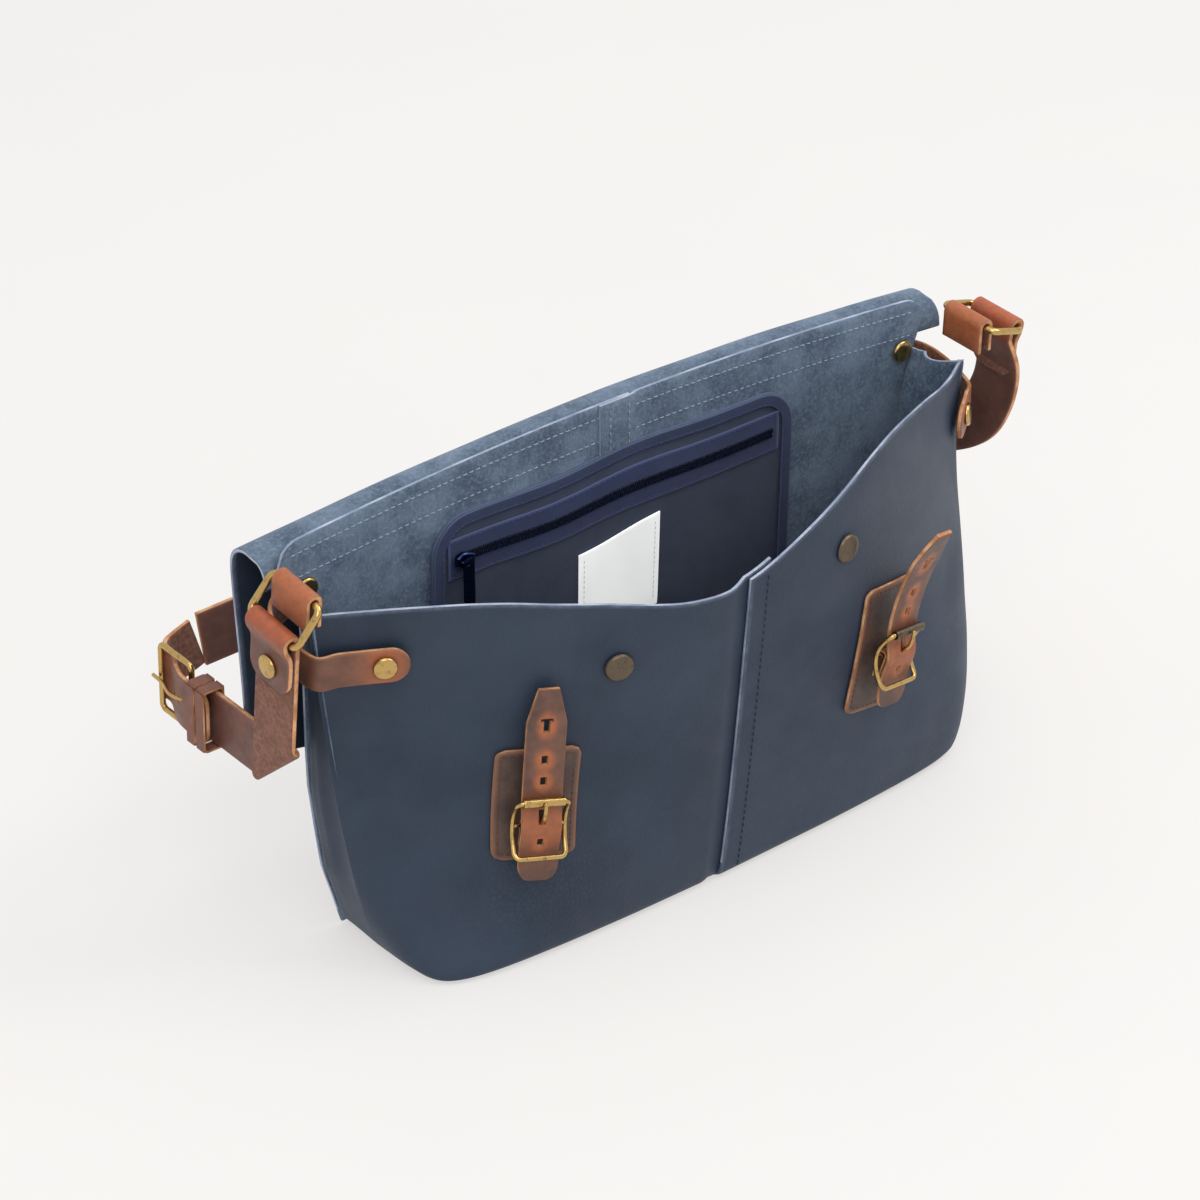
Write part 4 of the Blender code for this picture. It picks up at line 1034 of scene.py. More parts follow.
BAR_OUT = 8.2
FRAME_HALF_H = 15.0
FRAME_HALF_W = 13.0
FRAME_BOW = 7.2
WIRE = 1.3
WIRE_CORNER = 3.0
ROLLER_R = 2.3
ROLLER_HALF = 9.2
PRONG_R = 1.0
PATCH_HALF = 19.5
PATCH_SPAN = {"left": (-21.5, 38.0), "right": (-35.0, 35.0)}
PATCH_OUT = 2.5
CHAPE_T = 1.4
CHAPE_W = 6.0
CHAPE_SPREAD = 5.5
CHAPE_LEG = 13.0
TAB_W = 20.0
TAB_T = 2.6
TAB_OUT = 11.0
TAB_RISE = 2.6
TAB_RISE_LENGTH = 8.0
TAB_LOW = -29.0
TAB_ROUND = 9.0
TAB_CURL_FROM = 14.0
TAB_CURL = {"left": 1.0, "right": 16.0}
TAB_SHOULDER = 56.0
TAB_TIP = 74.0
TAB_TIP_SHARE = 0.52
# Slots along the tab, as (low, high) from the centre bar. The last one is the keyhole.
TAB_SLOTS = ((-10.0, -5.2), (2.6, 9.6), (22.2, 26.8), (33.6, 38.2), (51.0, 58.0))
SLOT_HALF_W = 1.5
KEYHOLE_HALF_W = 3.2
KEYHOLE_BAR = 1.5
CAP_R = 7.6
CAP_HEIGHT = 3.0
RIVET_R = 6.0
RIVET_HEIGHT = 2.2


def dome(radius, height):
    """Profile of a shallow domed head with a rolled rim."""
    return [(radius * 0.9, 0), (radius, 0.35), (radius * 0.99, 0.8), (radius * 0.94, height * 0.52),
            (radius * 0.8, height * 0.74), (radius * 0.45, height * 0.95), (0, height)]


def flat_head(radius, height):
    """Profile of a tubular rivet's flat head, with a fine turned edge."""
    return [(radius * 0.9, 0), (radius, 0.4), (radius * 0.98, height * 0.55),
            (radius * 0.88, height * 0.86), (radius * 0.7, height * 0.93), (0, height)]


def rivet(name, foot, out, body, node):
    """A brass rivet head that stands on a place and looks outwards."""
    turned(name, foot, out, flat_head(RIVET_R, RIVET_HEIGHT), BRASS, body, replaces=[node], slot="brass")


def snaps():
    """The front's two snap caps and their sockets inside."""
    for side, (x, z) in CAPS.items():
        p, n, _, _ = front_frame(x, z)
        turned(f"cap_{side}", p + n * GAP, n, dome(CAP_R, CAP_HEIGHT), BRONZE, "root",
               replaces=[f"snap_cap_{side}"], slot="bronze")
        turned(f"socket_{side}", p - n * (LEATHER + GAP), -n, flat_head(CAP_R * 0.8, CAP_HEIGHT), BRASS,
               "root", replaces=[f"snap_socket_{side}"], slot="brass")


def local(frame, side, up, out):
    """A point given along a frame's own sideways, upward and outward directions."""
    p, n, dx, dz = frame
    return p + dx * side + dz * up + n * out


def hardware_frame(name):
    """The frame of a front buckle: its centre bar's middle, outwards, sideways and up."""
    p, n, dx, dz = front_frame(BUCKLE_X[name], BAR_Z[name])
    cos, sin = math.cos(BUCKLE_TILT[name]), math.sin(BUCKLE_TILT[name])
    return p, n, dx * cos + dz * sin, dz * cos - dx * sin


def patch(name):
    """Rounded leather patch that follows the front, with a stitch row round it."""
    cos, sin = math.cos(BUCKLE_TILT[name]), math.sin(BUCKLE_TILT[name])
    rows, cols, corner = 40, 30, 4.5
    low, high = PATCH_SPAN[name]
    middle, half_h = (low + high) / 2, (high - low) / 2
    grid = np.zeros((rows, cols, 3))

    def on_front(side, up, out):
        x, z = BUCKLE_X[name] + side * cos - up * sin, BAR_Z[name] + up * cos + side * sin
        p, n, _, _ = front_frame(x, z)
        return p + n * out, n

    for i, v in enumerate(np.linspace(-1, 1, rows)):
        for j, u in enumerate(np.linspace(-1, 1, cols)):
            up = middle + v * half_h
            past = max(0.0, abs(up - middle) - (half_h - corner))
            half = PATCH_HALF - corner + math.sqrt(max(corner ** 2 - past ** 2, 0.0)) + 0.01
            side = u * half
            rim = min(half - abs(side), half_h - abs(up - middle))
            lift = PATCH_OUT - 0.25 * smooth((3.6 - rim) / 1.2) * smooth((rim - 1.6) / 1.0)
            grid[i, j] = on_front(side, up, lift)[0]
    sheet(f"patch_leather_{name}", grid, PATCH_OUT - GAP, [PATCH, FLESH, TAN], "root", flip=True, reach=2,
          replaces=[f"patch_{name}"], slot="brown_leather")
    path, normals = [], []
    loop = rounded_loop(PATCH_HALF - 2.7, half_h - 2.7, corner - 1.5, 5)
    for (u, v), (nu, nv) in zip(loop, loop[1:] + loop[:1]):
        for t in np.linspace(0, 1, 8, endpoint=False):
            p, n = on_front(lerp(u, nu, t), middle + lerp(v, nv, t), PATCH_OUT - 0.1)
            path.append(p)
            normals.append(n)
    stitches(f"patch_stitches_{name}", path, normals, BROWN_THREAD, "root", length=2.4, gap=0.8,
             radius=0.33)


def buckle_ring(frame, half_w, half_h, base, bow):
    """Centre line of a buckle's frame, bowed so that its two ends stand proud of its middle."""
    ring = []
    loop = rounded_loop(half_w, half_h, WIRE_CORNER, 7)
    for (u, v), (next_u, next_v) in zip(loop, loop[1:] + loop[:1]):
        steps = 20 if abs(next_v - v) > half_h or abs(next_u - u) > half_w else 1
        for k in range(steps):
            up, side = lerp(v, next_v, k / steps), lerp(u, next_u, k / steps)
            ring.append(local(frame, side, up, base + bow * (up / half_h) ** 2))
    return ring


def tab_curl(name, up):
    """How far a closing tab's free end curls away from the front."""
    return TAB_CURL[name] * (max(0.0, up - TAB_CURL_FROM) / (TAB_TIP - TAB_CURL_FROM)) ** 2


def tab_pull(up, side):
    """Where the tab's leather is pulled: round its slots, at the bar and at its shoulder."""
    pull = 0.75 * math.exp(-((up - 2) / 15.0) ** 2)
    for low, high in TAB_SLOTS:
        reach = math.hypot(side / 4.6, (up - (low + high) / 2) / ((high - low) / 2 + 3.2))
        pull = max(pull, 0.95 * smooth(1.5 - reach))
    return pull


def closing_tab(name, frame):
    """Slotted tab: a round lower end, a rise over the centre bar and a pointed free end."""
    ups = set(np.round(np.arange(TAB_LOW, TAB_TIP + 0.1, 1.3), 3)) | {TAB_TIP}
    ups = {u for u in ups if all(abs(u - e) > 0.55 for s in TAB_SLOTS for e in s)}
    ups |= {e for s in TAB_SLOTS for e in s} | {TAB_SLOTS[-1][1] - KEYHOLE_BAR}
    ups |= {TAB_LOW + d for d in (0.25, 0.7, 2.0)}
    ups = sorted(ups)
    path, widths = [], []
    for up in ups:
        out = TAB_OUT + TAB_RISE * math.exp(-((up / TAB_RISE_LENGTH) ** 2)) + tab_curl(name, up)
        path.append(local(frame, 0, up, out))
        below = max(0.0, TAB_LOW + TAB_ROUND - up) / TAB_ROUND
        width = TAB_W * (0.42 + 0.58 * math.sqrt(max(0.0, 1 - below ** 2)))
        if up >= TAB_SHOULDER:
            width = TAB_W * lerp(1, TAB_TIP_SHARE, (up - TAB_SHOULDER) / (TAB_TIP - TAB_SHOULDER))
        widths.append(width)
    inner = [-KEYHOLE_HALF_W, -SLOT_HALF_W, 0, SLOT_HALF_W, KEYHOLE_HALF_W]
    edges = [0.5, 0.47, 0.4, 0.32, 0.24]
    path, widths = np.array(path), np.array(widths)
    sides = np.array([-e for e in edges] + [k / TAB_W for k in inner] + edges[::-1])
    holes = np.zeros((len(ups) - 1, len(sides) - 1), bool)
    for k, (low, high) in enumerate(TAB_SLOTS):
        for i in range(len(ups) - 1):
            middle = (ups[i] + ups[i + 1]) / 2
            if low < middle < high:
                holes[i, 6:8] = True
                if k == len(TAB_SLOTS) - 1 and middle > high - KEYHOLE_BAR:
                    holes[i, 5:9] = True
    pull = np.array([[tab_pull(up, s * w) for s in sides] for up, w in zip(ups, widths)])
    strap(f"tab_leather_{name}", path, -frame[2], widths, TAB_T, BROWN_SKIN, f"buckle_{name}",
          pull=pull, holes=holes, sides=sides, replaces=[f"tab_{name}"], slot="brown_leather")


def closing_buckle(name):
    """Everything of one front buckle: patch, chape strips, frame, roller, prong and tab."""
    patch(name)
    metal = hardware_frame(name)
    wrap = WIRE + GAP + CHAPE_T / 2
    side_view = [(-CHAPE_LEG, BAR_OUT - wrap - 1.2)]
    side_view += [(wrap * math.sin(a), BAR_OUT - wrap * math.cos(a)) for a in np.linspace(0, math.pi, 9)]
    side_view += [(-CHAPE_LEG - 1.5, BAR_OUT + wrap - 2.8)]
    for part, offset in (("a", -CHAPE_SPREAD), ("b", CHAPE_SPREAD)):
        path = spline([local(metal, offset, up, out) for up, out in side_view], 0.8)
        strap(f"chape_leather_{name}_{part}", path, metal[2], CHAPE_W, CHAPE_T, BROWN_SKIN, "root",
              pull=np.full(len(path), 0.55), replaces=[f"chape_{name}_{part}"], slot="brown_leather")
    body = f"buckle_{name}"
    ring = buckle_ring(metal, FRAME_HALF_W, FRAME_HALF_H, BAR_OUT, FRAME_BOW)
    tube(f"buckle_frame_{name}", ring, WIRE, BRASS, body, closed=True, replaces=[f"frame_{name}"],
         slot="brass")
    bar = [local(metal, s, 0, BAR_OUT) for s in np.linspace(-FRAME_HALF_W, FRAME_HALF_W, 5)]
    tube(f"buckle_bar_{name}", bar, WIRE * 0.93, BRASS, body, slot="brass")
    top = local(metal, 0, FRAME_HALF_H, BAR_OUT + FRAME_BOW)
    profile = [(WIRE + 0.15, 0.2), (ROLLER_R - 0.25, 0), (ROLLER_R, 0.3), (ROLLER_R, 2 * ROLLER_HALF - 0.3),
               (ROLLER_R - 0.25, 2 * ROLLER_HALF), (WIRE + 0.15, 2 * ROLLER_HALF - 0.2)]
    turned(f"buckle_roller_{name}", top - metal[2] * ROLLER_HALF, metal[2], profile,
           BRASS if name == "left" else BRONZE, f"roller_{name}", sides=24, replaces=[f"roller_{name}"],
           slot="brass")
    hook = WIRE + GAP + PRONG_R
    path = [local(metal, 0, -hook * math.sin(a), BAR_OUT - hook * math.cos(a))
            for a in np.linspace(math.radians(-35), math.radians(200), 9)]
    rest_out = BAR_OUT + FRAME_BOW + ROLLER_R + GAP + PRONG_R
    path += [local(metal, 0, 3.4, BAR_OUT + hook + 3.4), local(metal, 0, 7.5, rest_out - 1.2),
             local(metal, 0, FRAME_HALF_H - 3.0, rest_out), local(metal, 0, FRAME_HALF_H + 1.6, rest_out)]
    path = spline(path, 0.6)
    tube(f"buckle_prong_{name}", path, np.r_[np.full(len(path) - 2, PRONG_R), PRONG_R * 0.9, PRONG_R * 0.5],
         BRASS, f"prong_{name}", replaces=[f"prong_{name}"], slot="brass")
    closing_tab(name, metal)


# End fittings -----------------------------------------------------------------

STRAP_W = 30.0
STRAP_T = 3.0
STRAP_FOLD = 78.0
FOLD_R = 3.2
SHORT_END = 31.0
RING_WIRE = 1.9
RING_H = 22.0
RING_W = 37.0
RING_CORNER = 4.0
RING_TAB_W = 27.0
RING_TAB_T = 2.6
BAND_W = 18.0
BAND_T = 2.4
BAND_OUT = 4.4
BAND_Z = {"left": 176.5, "right": 180.0}
BAND_FRONT_X = {"left": 165.0, "right": 179.0}
BAND_CORNER_X = 223.0
BAND_CORNER_Y = 47.0
BAND_BACK_Z = 198.0
BAND_BACK_X = 190.0
RIVET_X = {"left": 177.0, "right": 193.0}
BUCKLE_REACH = 78.0
END_TO_BAR = 5.0
LOOP_HALF_H = 13.0
LOOP_HALF_W = 18.5
LOOP_WIRE = 1.6
KEEPERS = (-11.0, -19.0)
KEEPER_LOW = -2.4
KEEPER_HIGH = 8.0
KEEPER_HALF_L = 3.2
KEEPER_T = 1.5
RUN_START_X = -190.0
STRAP_JOINT_GAP = 6.0
# The strap in its buckle, as (way past the heel bar, height over it).
TAIL_PROFILE = ((-21, 5.6), (-12, 5.6), (-4, 5.4), (3, 4.6), (10, 2.2), (17, -1.4))
# Centre of the long strap from its ring to its run behind the bag.
LONG_ROUTE = (
    (237, 7, 190), (237.5, 11, 170), (236, 22, 152), (230, 42, 141), (216, 66, 137), (190, 86, 136),
    (150, 98, 136), (95, 104, 136), (30, 108, 137), (-40, 113, 137), (-100, 118, 136), (-150, 123, 133),
)
# Each ring's upper bar, the bar's direction and the way the ring hangs from it.
RINGS = {
    "left": {"bar": vec(-214, 4, 222), "along": vec(0, -0.99, -0.13), "drop": vec(-0.60, 0.10, -0.79)},
    "right": {"bar": vec(216, 9, 221), "along": vec(0, -0.99, -0.05), "drop": vec(0.96, 0.01, -0.27)},
}


def ring_frame(side):
    """A ring's upper bar (its middle and direction) and the way the ring hangs."""
    spec = RINGS[side]
    along = unit(spec["along"])
    drop = unit(spec["drop"] - along * (spec["drop"] @ along))
    return spec["bar"], along, drop


def wrap_path(centre, first, up, radius, legs_first, legs_second):
    """A strap's centre line: up one leg, round a bar and down the other leg."""
    arc = [centre + radius * (math.cos(a) * first + math.sin(a) * up) for a in np.linspace(0, math.pi, 15)]
    return [arc[0] - up * d for d in legs_first] + arc + [arc[-1] - up * d for d in legs_second]


def rings():
    """The two rectangular wire rings at the mouth's ends."""
    for side in RINGS:
        bar, along, drop = ring_frame(side)
        middle = bar + drop * RING_H / 2
        outline = rounded_loop(RING_W / 2, RING_H / 2, RING_CORNER, 8)
        loop = [middle + along * u + drop * v for u, v in outline]
        tube(f"ring_wire_{side}", loop, RING_WIRE, BRASS, f"ring_{side}", closed=True,
             replaces=[f"ring_{side}"], slot="brass")


def ring_tabs():
    """Short straps over the mouth's two ends, each rolled round its ring."""
    for sign, side in SIDE.items():
        bar, along, _ = ring_frame(side)
        out = vec(sign, 0, 0)
        up = unit(np.cross(out, along))
        up = up * np.sign(up[2])
        radius = RING_WIRE + GAP + RING_TAB_T / 2
        path = spline(wrap_path(bar, -out, up, radius, (14, 8, 3), (3, 8, 14)), 0.8)
        turn = np.linspace(-1, 1, len(path))
        strap(f"ring_tab_leather_{side}", path, np.cross(-out, up), RING_TAB_W, RING_TAB_T, BROWN_SKIN,
              "root", pull=0.95 - 0.6 * np.abs(turn) ** 3, replaces=[f"ring_tab_{side}"],
              slot="brown_leather")


def end_bands():
    """A strap across each end of the body, riveted to its front and to its back."""
    for sign, side in SIDE.items():
        z_front = BAND_Z[side]
        wall = section(z_front, 60, sign > 0)
        outline = wall[wall[:, 0] < -BAND_FRONT_X[side]][::-3][::-1]
        path = []
        for (x, y), (run_x, run_y) in zip(outline, np.gradient(outline, axis=0)):
            n = unit(vec(-run_y, run_x, 0))
            path.append(vec(-sign * x, y, z_front) + vec(-sign * n[0], n[1], 0) * BAND_OUT)
        start = path[-1]
        corner = vec(sign * BAND_CORNER_X, BAND_CORNER_Y, (z_front + BAND_BACK_Z) / 2)
        end = vec(sign * (BAND_BACK_X - 8), BACK_HEAD_Y + 1.5, BAND_BACK_Z)
        for t in np.linspace(0.2, 1, 6):
            path.append((1 - t) ** 2 * start + 2 * t * (1 - t) * corner + t * t * end)
        path = spline(path, 1.6)
        run = run_along(path)
        lead = BAND_W / 2
        close = np.array([0, 0.12, 0.35, 0.65])
        fine = np.r_[path[0] + (path[1] - path[0]) * close[:, None], path[1:]]
        fine_run = np.r_[run[1] * close, run[1:]]
        near_end = np.minimum(fine_run, run[-1] - fine_run)
        width = BAND_W * np.sqrt(np.clip(1 - (np.clip(lead - near_end, 0, lead) / lead) ** 2, 0.02, 1))
        p, n, _, _ = front_frame(sign * RIVET_X[side], z_front)
        rows = np.linalg.norm(fine - p, axis=1)
        pull = 0.75 * np.exp(-(rows / 11.0) ** 2) + 0.12
        strap(f"end_band_leather_{side}", fine, (0, 0, sign), width, BAND_T, BROWN_SKIN, "root",
              pull=pull, replaces=[f"end_band_{side}"], slot="brown_leather")
        rivet(f"band_rivet_head_{side}", p + n * (BAND_OUT + BAND_T / 2 + 0.2), n, "root",
              f"band_rivet_{side}")
        z = BAND_BACK_Z + 4
        inside = vec(sign * BAND_BACK_X, back_y(BAND_BACK_X, z) - LEATHER - GAP, z)
        rivet(f"band_rivet_inside_{side}", inside + vec(0, -0.8, 0), (0, -1, 0), "root",
              f"band_rivet_back_{side}")


# Shoulder strap ---------------------------------------------------------------

def strap_loop(side, out, main_leg):
    """Centre line of a strap end: its riveted short end, its roll on the ring and its main leg."""
    bar, along, drop = ring_frame(side)
    centre = bar + drop * RING_H
    up = unit(np.cross(out, along))
    up = up * np.sign(up[2])
    radius = RING_WIRE + GAP + STRAP_T / 2
    path = wrap_path(centre, out, up, radius, (), main_leg)
    pinch = 2 * radius - STRAP_T - 2 * GAP
    legs = [(SHORT_END, pinch), (21, pinch), (12, pinch), (8, pinch * 0.8), (4, pinch * 0.25)]
    short = [path[0] - up * d - out * shift for d, shift in legs]
    return short + path, centre, up, np.cross(out, up), radius


def round_end(path, width, corner):
    """Widths of a strap whose first end has rounded corners, and its path with finer rows there."""
    first = path[0] + (path[1] - path[0]) * np.array([0, 0.08, 0.25, 0.5, 0.75])[:, None]
    path = np.vstack([first, path[1:]])
    run = run_along(path)
    past = np.clip(corner - run, 0, corner)
    return path, width - 2 * corner + 2 * np.sqrt(np.clip(corner ** 2 - past ** 2, 0, None))


def short_strap():
    """The strap part on the left ring: it hangs, folds back on itself and ends at the buckle."""
    out = vec(-1, 0, 0)
    length = STRAP_FOLD + BUCKLE_REACH
    steps = tuple(np.arange(6, length + 1, 3.0))
    path, centre, up, along, radius = strap_loop("left", out, steps)
    main = centre - out * radius
    rivet_at = path[1] + out * (STRAP_T / 2 + GAP)
    ahead, after = -up, unit(vec(0, 0.999, 0.04))
    line = unit(ahead + after)
    heading = unit(ahead - line * (ahead @ line))
    start = main + ahead * STRAP_FOLD
    past = lambda pts: fold_over(pts, start, heading, -out, FOLD_R, math.pi)
    fine, width = round_end(spline(path, 1.5), STRAP_W, 9.0)
    run = run_along(fine)
    roll = SHORT_END + 6
    sides = np.linspace(-0.5, 0.5, 23)
    fold_run = ((fine[:, None] + along * (sides * STRAP_W)[None, :, None]) - start) @ heading
    at_roll = 0.95 * np.exp(-((run - roll) / 12.0) ** 2)[:, None]
    pull = np.maximum(np.maximum(at_roll, 0.5 * np.exp(-(fold_run / 7.0) ** 2)), 0.16)
    strap("short_strap_leather", fine, along, width, STRAP_T, STRAP_SKIN, "short_strap", pull=pull,
          bend=past, sides=sides, replaces=["short_strap"], slot="brown_leather")
    rivet("short_strap_rivet_head", rivet_at + up - out * 0.2, out, "short_strap", "short_strap_rivet")
    return past(np.array([main + ahead * (length + END_TO_BAR)]))[0], after


def strap_buckle(bar, after):
    """Heel-bar buckle at the short strap's end, with its prong, two keepers and the strap in it."""
    out = vec(-1, 0, 0)
    side = unit(np.cross(after, out))
    frame = (bar, out, side, after)
    outline = rounded_loop(LOOP_HALF_W, LOOP_HALF_H, WIRE_CORNER, 7)
    ring = [local(frame, u, LOOP_HALF_H + v, 0) for u, v in outline]
    tube("strap_buckle_frame", ring, LOOP_WIRE, BRASS, "short_strap", closed=True,
         replaces=["strap_buckle"], slot="brass")
    hook = LOOP_WIRE + GAP + PRONG_R
    turn = np.linspace(math.radians(-35), math.radians(180), 8)
    pts = [local(frame, 0, -hook * math.sin(a), -hook * math.cos(a)) for a in turn]
    pts += [local(frame, 0, 4.5, 5.6), local(frame, 0, 11, 6.4), local(frame, 0, 20, hook + 0.9)]
    pts.append(local(frame, 0, 2 * LOOP_HALF_H + 3, hook + 0.2))
    tube("strap_buckle_prong", spline(pts, 0.8), PRONG_R, BRASS, "strap_prong", replaces=["strap_prong"],
         slot="brass")
    inside = LOOP_WIRE + GAP + STRAP_T / 2
    path = [local(frame, 0, up, o) for up, o in (*TAIL_PROFILE, (22, -inside + 0.2), (27, -inside))]
    corner = path[-1]
    path += [corner + after * 5 + vec(3.5, 0, 0), corner + after * 7.5 + vec(9, 0, 0),
             vec(RUN_START_X, corner[1] + 8.0, corner[2] + 5.0)]
    end = path[-1]
    path, width = round_end(spline(path, 1.3), STRAP_W - 1, 7.0)
    sides = np.array([-0.5, -0.46, -0.36, -0.26, -0.16, -0.065, 0.0, 0.065, 0.16, 0.26, 0.36, 0.46, 0.5])
    run = run_along(path)
    middle = (run[1:] + run[:-1]) / 2
    holes = np.zeros((len(path) - 1, len(sides) - 1), bool)
    holes[(middle > 20.5) & (middle < 32), 5:7] = True
    strap("strap_tail_leather", path, -side, width, STRAP_T * 0.9, STRAP_SKIN, "short_strap",
          pull=0.5 * np.exp(-((run - 50) / 9.0) ** 2) + 0.2, holes=holes, sides=sides,
          replaces=["strap_tail"], slot="brown_leather")
    middle, half = (KEEPER_HIGH + KEEPER_LOW) / 2, (KEEPER_HIGH - KEEPER_LOW) / 2
    for k, up in enumerate(KEEPERS):
        loop = rounded_loop(STRAP_W / 2 + 1.2 + KEEPER_T / 2, half + KEEPER_T / 2, 2.4, 5)
        ring = spline([local(frame, u, up, middle + v) for u, v in loop + loop[:1]], 1.0)
        strap(f"strap_keeper_leather_{k + 1}", ring, -after, 2 * KEEPER_HALF_L, KEEPER_T, STRAP_SKIN,
              "short_strap", pull=np.full(len(ring), 0.3), replaces=[f"strap_keeper_{k + 1}"],
              slot="brown_leather")
    return end


def long_strap(left_end):
    """The strap part on the right ring, which runs on edge behind the bag to the buckle."""
    out = vec(1, 0, 0)
    path, _, up, along, _ = strap_loop("right", out, (4, 9))
    count = len(path)
    rivet_at = path[1] + out * (STRAP_T / 2 + GAP) + up
    path = path + [vec(*p) for p in LONG_ROUTE] + [left_end + vec(STRAP_JOINT_GAP * 0.4, 0, 0)]
    twist = np.clip((np.arange(len(path)) - count) / 4.0, 0, 1)[:, None]
    across = along * (1 - twist) + vec(0, -0.05, -1) * twist
    both = spline(np.hstack([np.array(path), across]), 1.8)
    fine, width = round_end(both[:, :3], STRAP_W, 9.0)
    across = np.vstack([np.repeat(both[:1, 3:], 5, axis=0), both[1:, 3:]])
    run = run_along(fine)
    pull = 0.95 * np.exp(-((run - SHORT_END - 6) / 12.0) ** 2) + 0.12
    strap("long_strap_leather", fine, across, width, STRAP_T, STRAP_SKIN, "long_strap", pull=pull,
          replaces=["long_strap"], slot="brown_leather")
    rivet("long_strap_rivet_head", rivet_at - out * 0.2, out, "long_strap", "long_strap_rivet")


# Inner pocket -----------------------------------------------------------------

POCKET_HALF = 115.0
POCKET_LOW = 62.0
POCKET_HIGH = 208.0
POCKET_T = 1.8
POCKET_CORNER = 20.0
BINDING_W = 6.0
ZIP_Z = 185.0
ZIP_HALF = 106.0
TAPE_HALF_H = 11.0
TAPE_T = 0.8
TOOTH = (0.72, 2.7, 1.1)
TOOTH_PITCH = 1.25
LABEL_X = 0.0
LABEL_HALF = 26.0
LABEL_LOW = 112.0
LABEL_HIGH = 163.0
LABEL_T = 0.7


def pocket_wave(x, z):
    """How the slack cloth waves up and down along the pocket's mouth."""
    high = smooth((z - 120) / 80.0)
    return (1.4 * math.sin(x / 27.0 + 0.6) + 0.7 * math.sin(x / 15.0 + 1.0)) * high * math.cos(x / 78.0)


def pocket_point(x, z, depth):
    """A point on the pocket, at a depth in front of the back panel's inner face."""
    bulge = 3.2 * math.cos(x / 76.0) * smooth((z - POCKET_LOW) / 60.0) * smooth((POCKET_HIGH - z) / 30.0)
    ripple = 0.5 * math.sin(x / 12.0 + z / 31.0) * smooth((200 - z) / 25.0) * math.cos(x / 78.0) ** 2
    y = back_y(x, z) - LEATHER - depth - max(0.0, bulge + ripple)
    return (x, y, z + pocket_wave(x, z))


def pocket_grid(x_low, x_high, z_low, z_high, depth, rows, cols, corner=0.0):
    """A grid on the pocket between four edges, with its two upper corners rounded."""
    middle, half = (x_low + x_high) / 2, (x_high - x_low) / 2
    grid = np.zeros((rows, cols, 3))
    heights = np.linspace(z_low, z_high - corner, rows - (8 if corner else 0))
    if corner:
        a = np.linspace(0, math.pi / 2, 9)[1:]
        heights = np.r_[heights, z_high - corner + corner * np.sin(a)]
    for i, z in enumerate(heights):
        rise = max(0.0, z - (z_high - corner))
        width = half - corner + math.sqrt(max(corner ** 2 - rise ** 2, 0.0)) + 0.02
        for j, x in enumerate(np.linspace(middle - width, middle + width, cols)):
            grid[i, j] = pocket_point(x, z, depth)
    return grid


def binding_edge():
    """Points (x, z) along the pocket's two sides and top."""
    inset = BINDING_W / 2 + 0.2
    half, high, corner = POCKET_HALF - inset, POCKET_HIGH - inset, POCKET_CORNER - 2
    turn = np.linspace(0, math.pi / 2, 9)
    right = [(half - corner + corner * math.cos(a), high - corner + corner * math.sin(a)) for a in turn]
    side = [(half, z) for z in np.linspace(POCKET_LOW + 2, high - corner, 30)[:-1]]
    top = [(x, high) for x in np.linspace(half - corner, 0, 30)[1:]]
    run = side + right + top
    return run + [(-x, z) for x, z in reversed(run[:-1])]


def pocket():
    """The pocket's cloth, its binding, its zip with stitches, teeth and slider, and the label."""
    front = GAP + POCKET_T
    panel = pocket_grid(-POCKET_HALF, POCKET_HALF, POCKET_LOW, POCKET_HIGH, front, 70, 90, POCKET_CORNER)
    sheet("pocket_cloth_panel", panel, POCKET_T, [CLOTH, CLOTH, BIND], "root", flip=True,
          replaces=["pocket_panel"], slot="navy_cloth")
    edge = binding_edge()
    path = np.array([pocket_point(x, z, front + 0.9) for x, z in edge])
    across = np.cross(np.gradient(path, axis=0), vec(0, 1, 0))
    sides = np.linspace(-0.5, 0.5, 9)
    strap("pocket_binding_tape", path, across, BINDING_W, 1.2, [BIND, BIND, BIND], "root", sides=sides,
          replaces=["pocket_binding"], slot="binding")
    inner = [np.array(pocket_point(x * (1 - 2.2 / POCKET_HALF), z - 2.0 * smooth((z - 150) / 40),
                                   front + 1.5)) for x, z in edge]
    stitches("binding_stitches", inner, (0, -1, 0), BLUE_THREAD, "root", length=2.6, gap=0.8, radius=0.25)
    tape = pocket_grid(-ZIP_HALF, ZIP_HALF, ZIP_Z - TAPE_HALF_H, ZIP_Z + TAPE_HALF_H,
                       front + GAP + TAPE_T, 16, 120)
    sheet("zip_tape_cloth", tape, TAPE_T, [TAPE, TAPE, TAPE], "root", flip=True, replaces=["zip_tape"],
          slot="navy_cloth")
    for k, z in enumerate((ZIP_Z - TAPE_HALF_H + 1.6, ZIP_Z + TAPE_HALF_H - 1.6)):
        path = [pocket_point(x, z, front + GAP + TAPE_T) for x in np.linspace(-ZIP_HALF, ZIP_HALF, 120)]
        stitches(f"zip_stitches_{k + 1}", path, (0, -1, 0), BLUE_THREAD, "root", length=2.6, gap=0.8,
                 radius=0.25)
    zip_teeth(front + GAP + TAPE_T)
    zip_slider()
    zip_puller()
    label(front + GAP)


def block(centre, right, up, out, size, taper=1.0):
    """Points and faces of a small block; its outer face is scaled by taper."""
    w, h, d = (s / 2 for s in size)
    verts = []
    for o, share in ((-d, 1.0), (d, taper)):
        for s, t in ((-w, -h), (w, -h), (w, h), (-w, h)):
            verts.append(centre + right * s * share + up * t * share + out * o)
    faces = [[3, 2, 1, 0], [4, 5, 6, 7], [0, 1, 5, 4], [1, 2, 6, 5], [2, 3, 7, 6], [3, 0, 4, 7]]
    return verts, faces


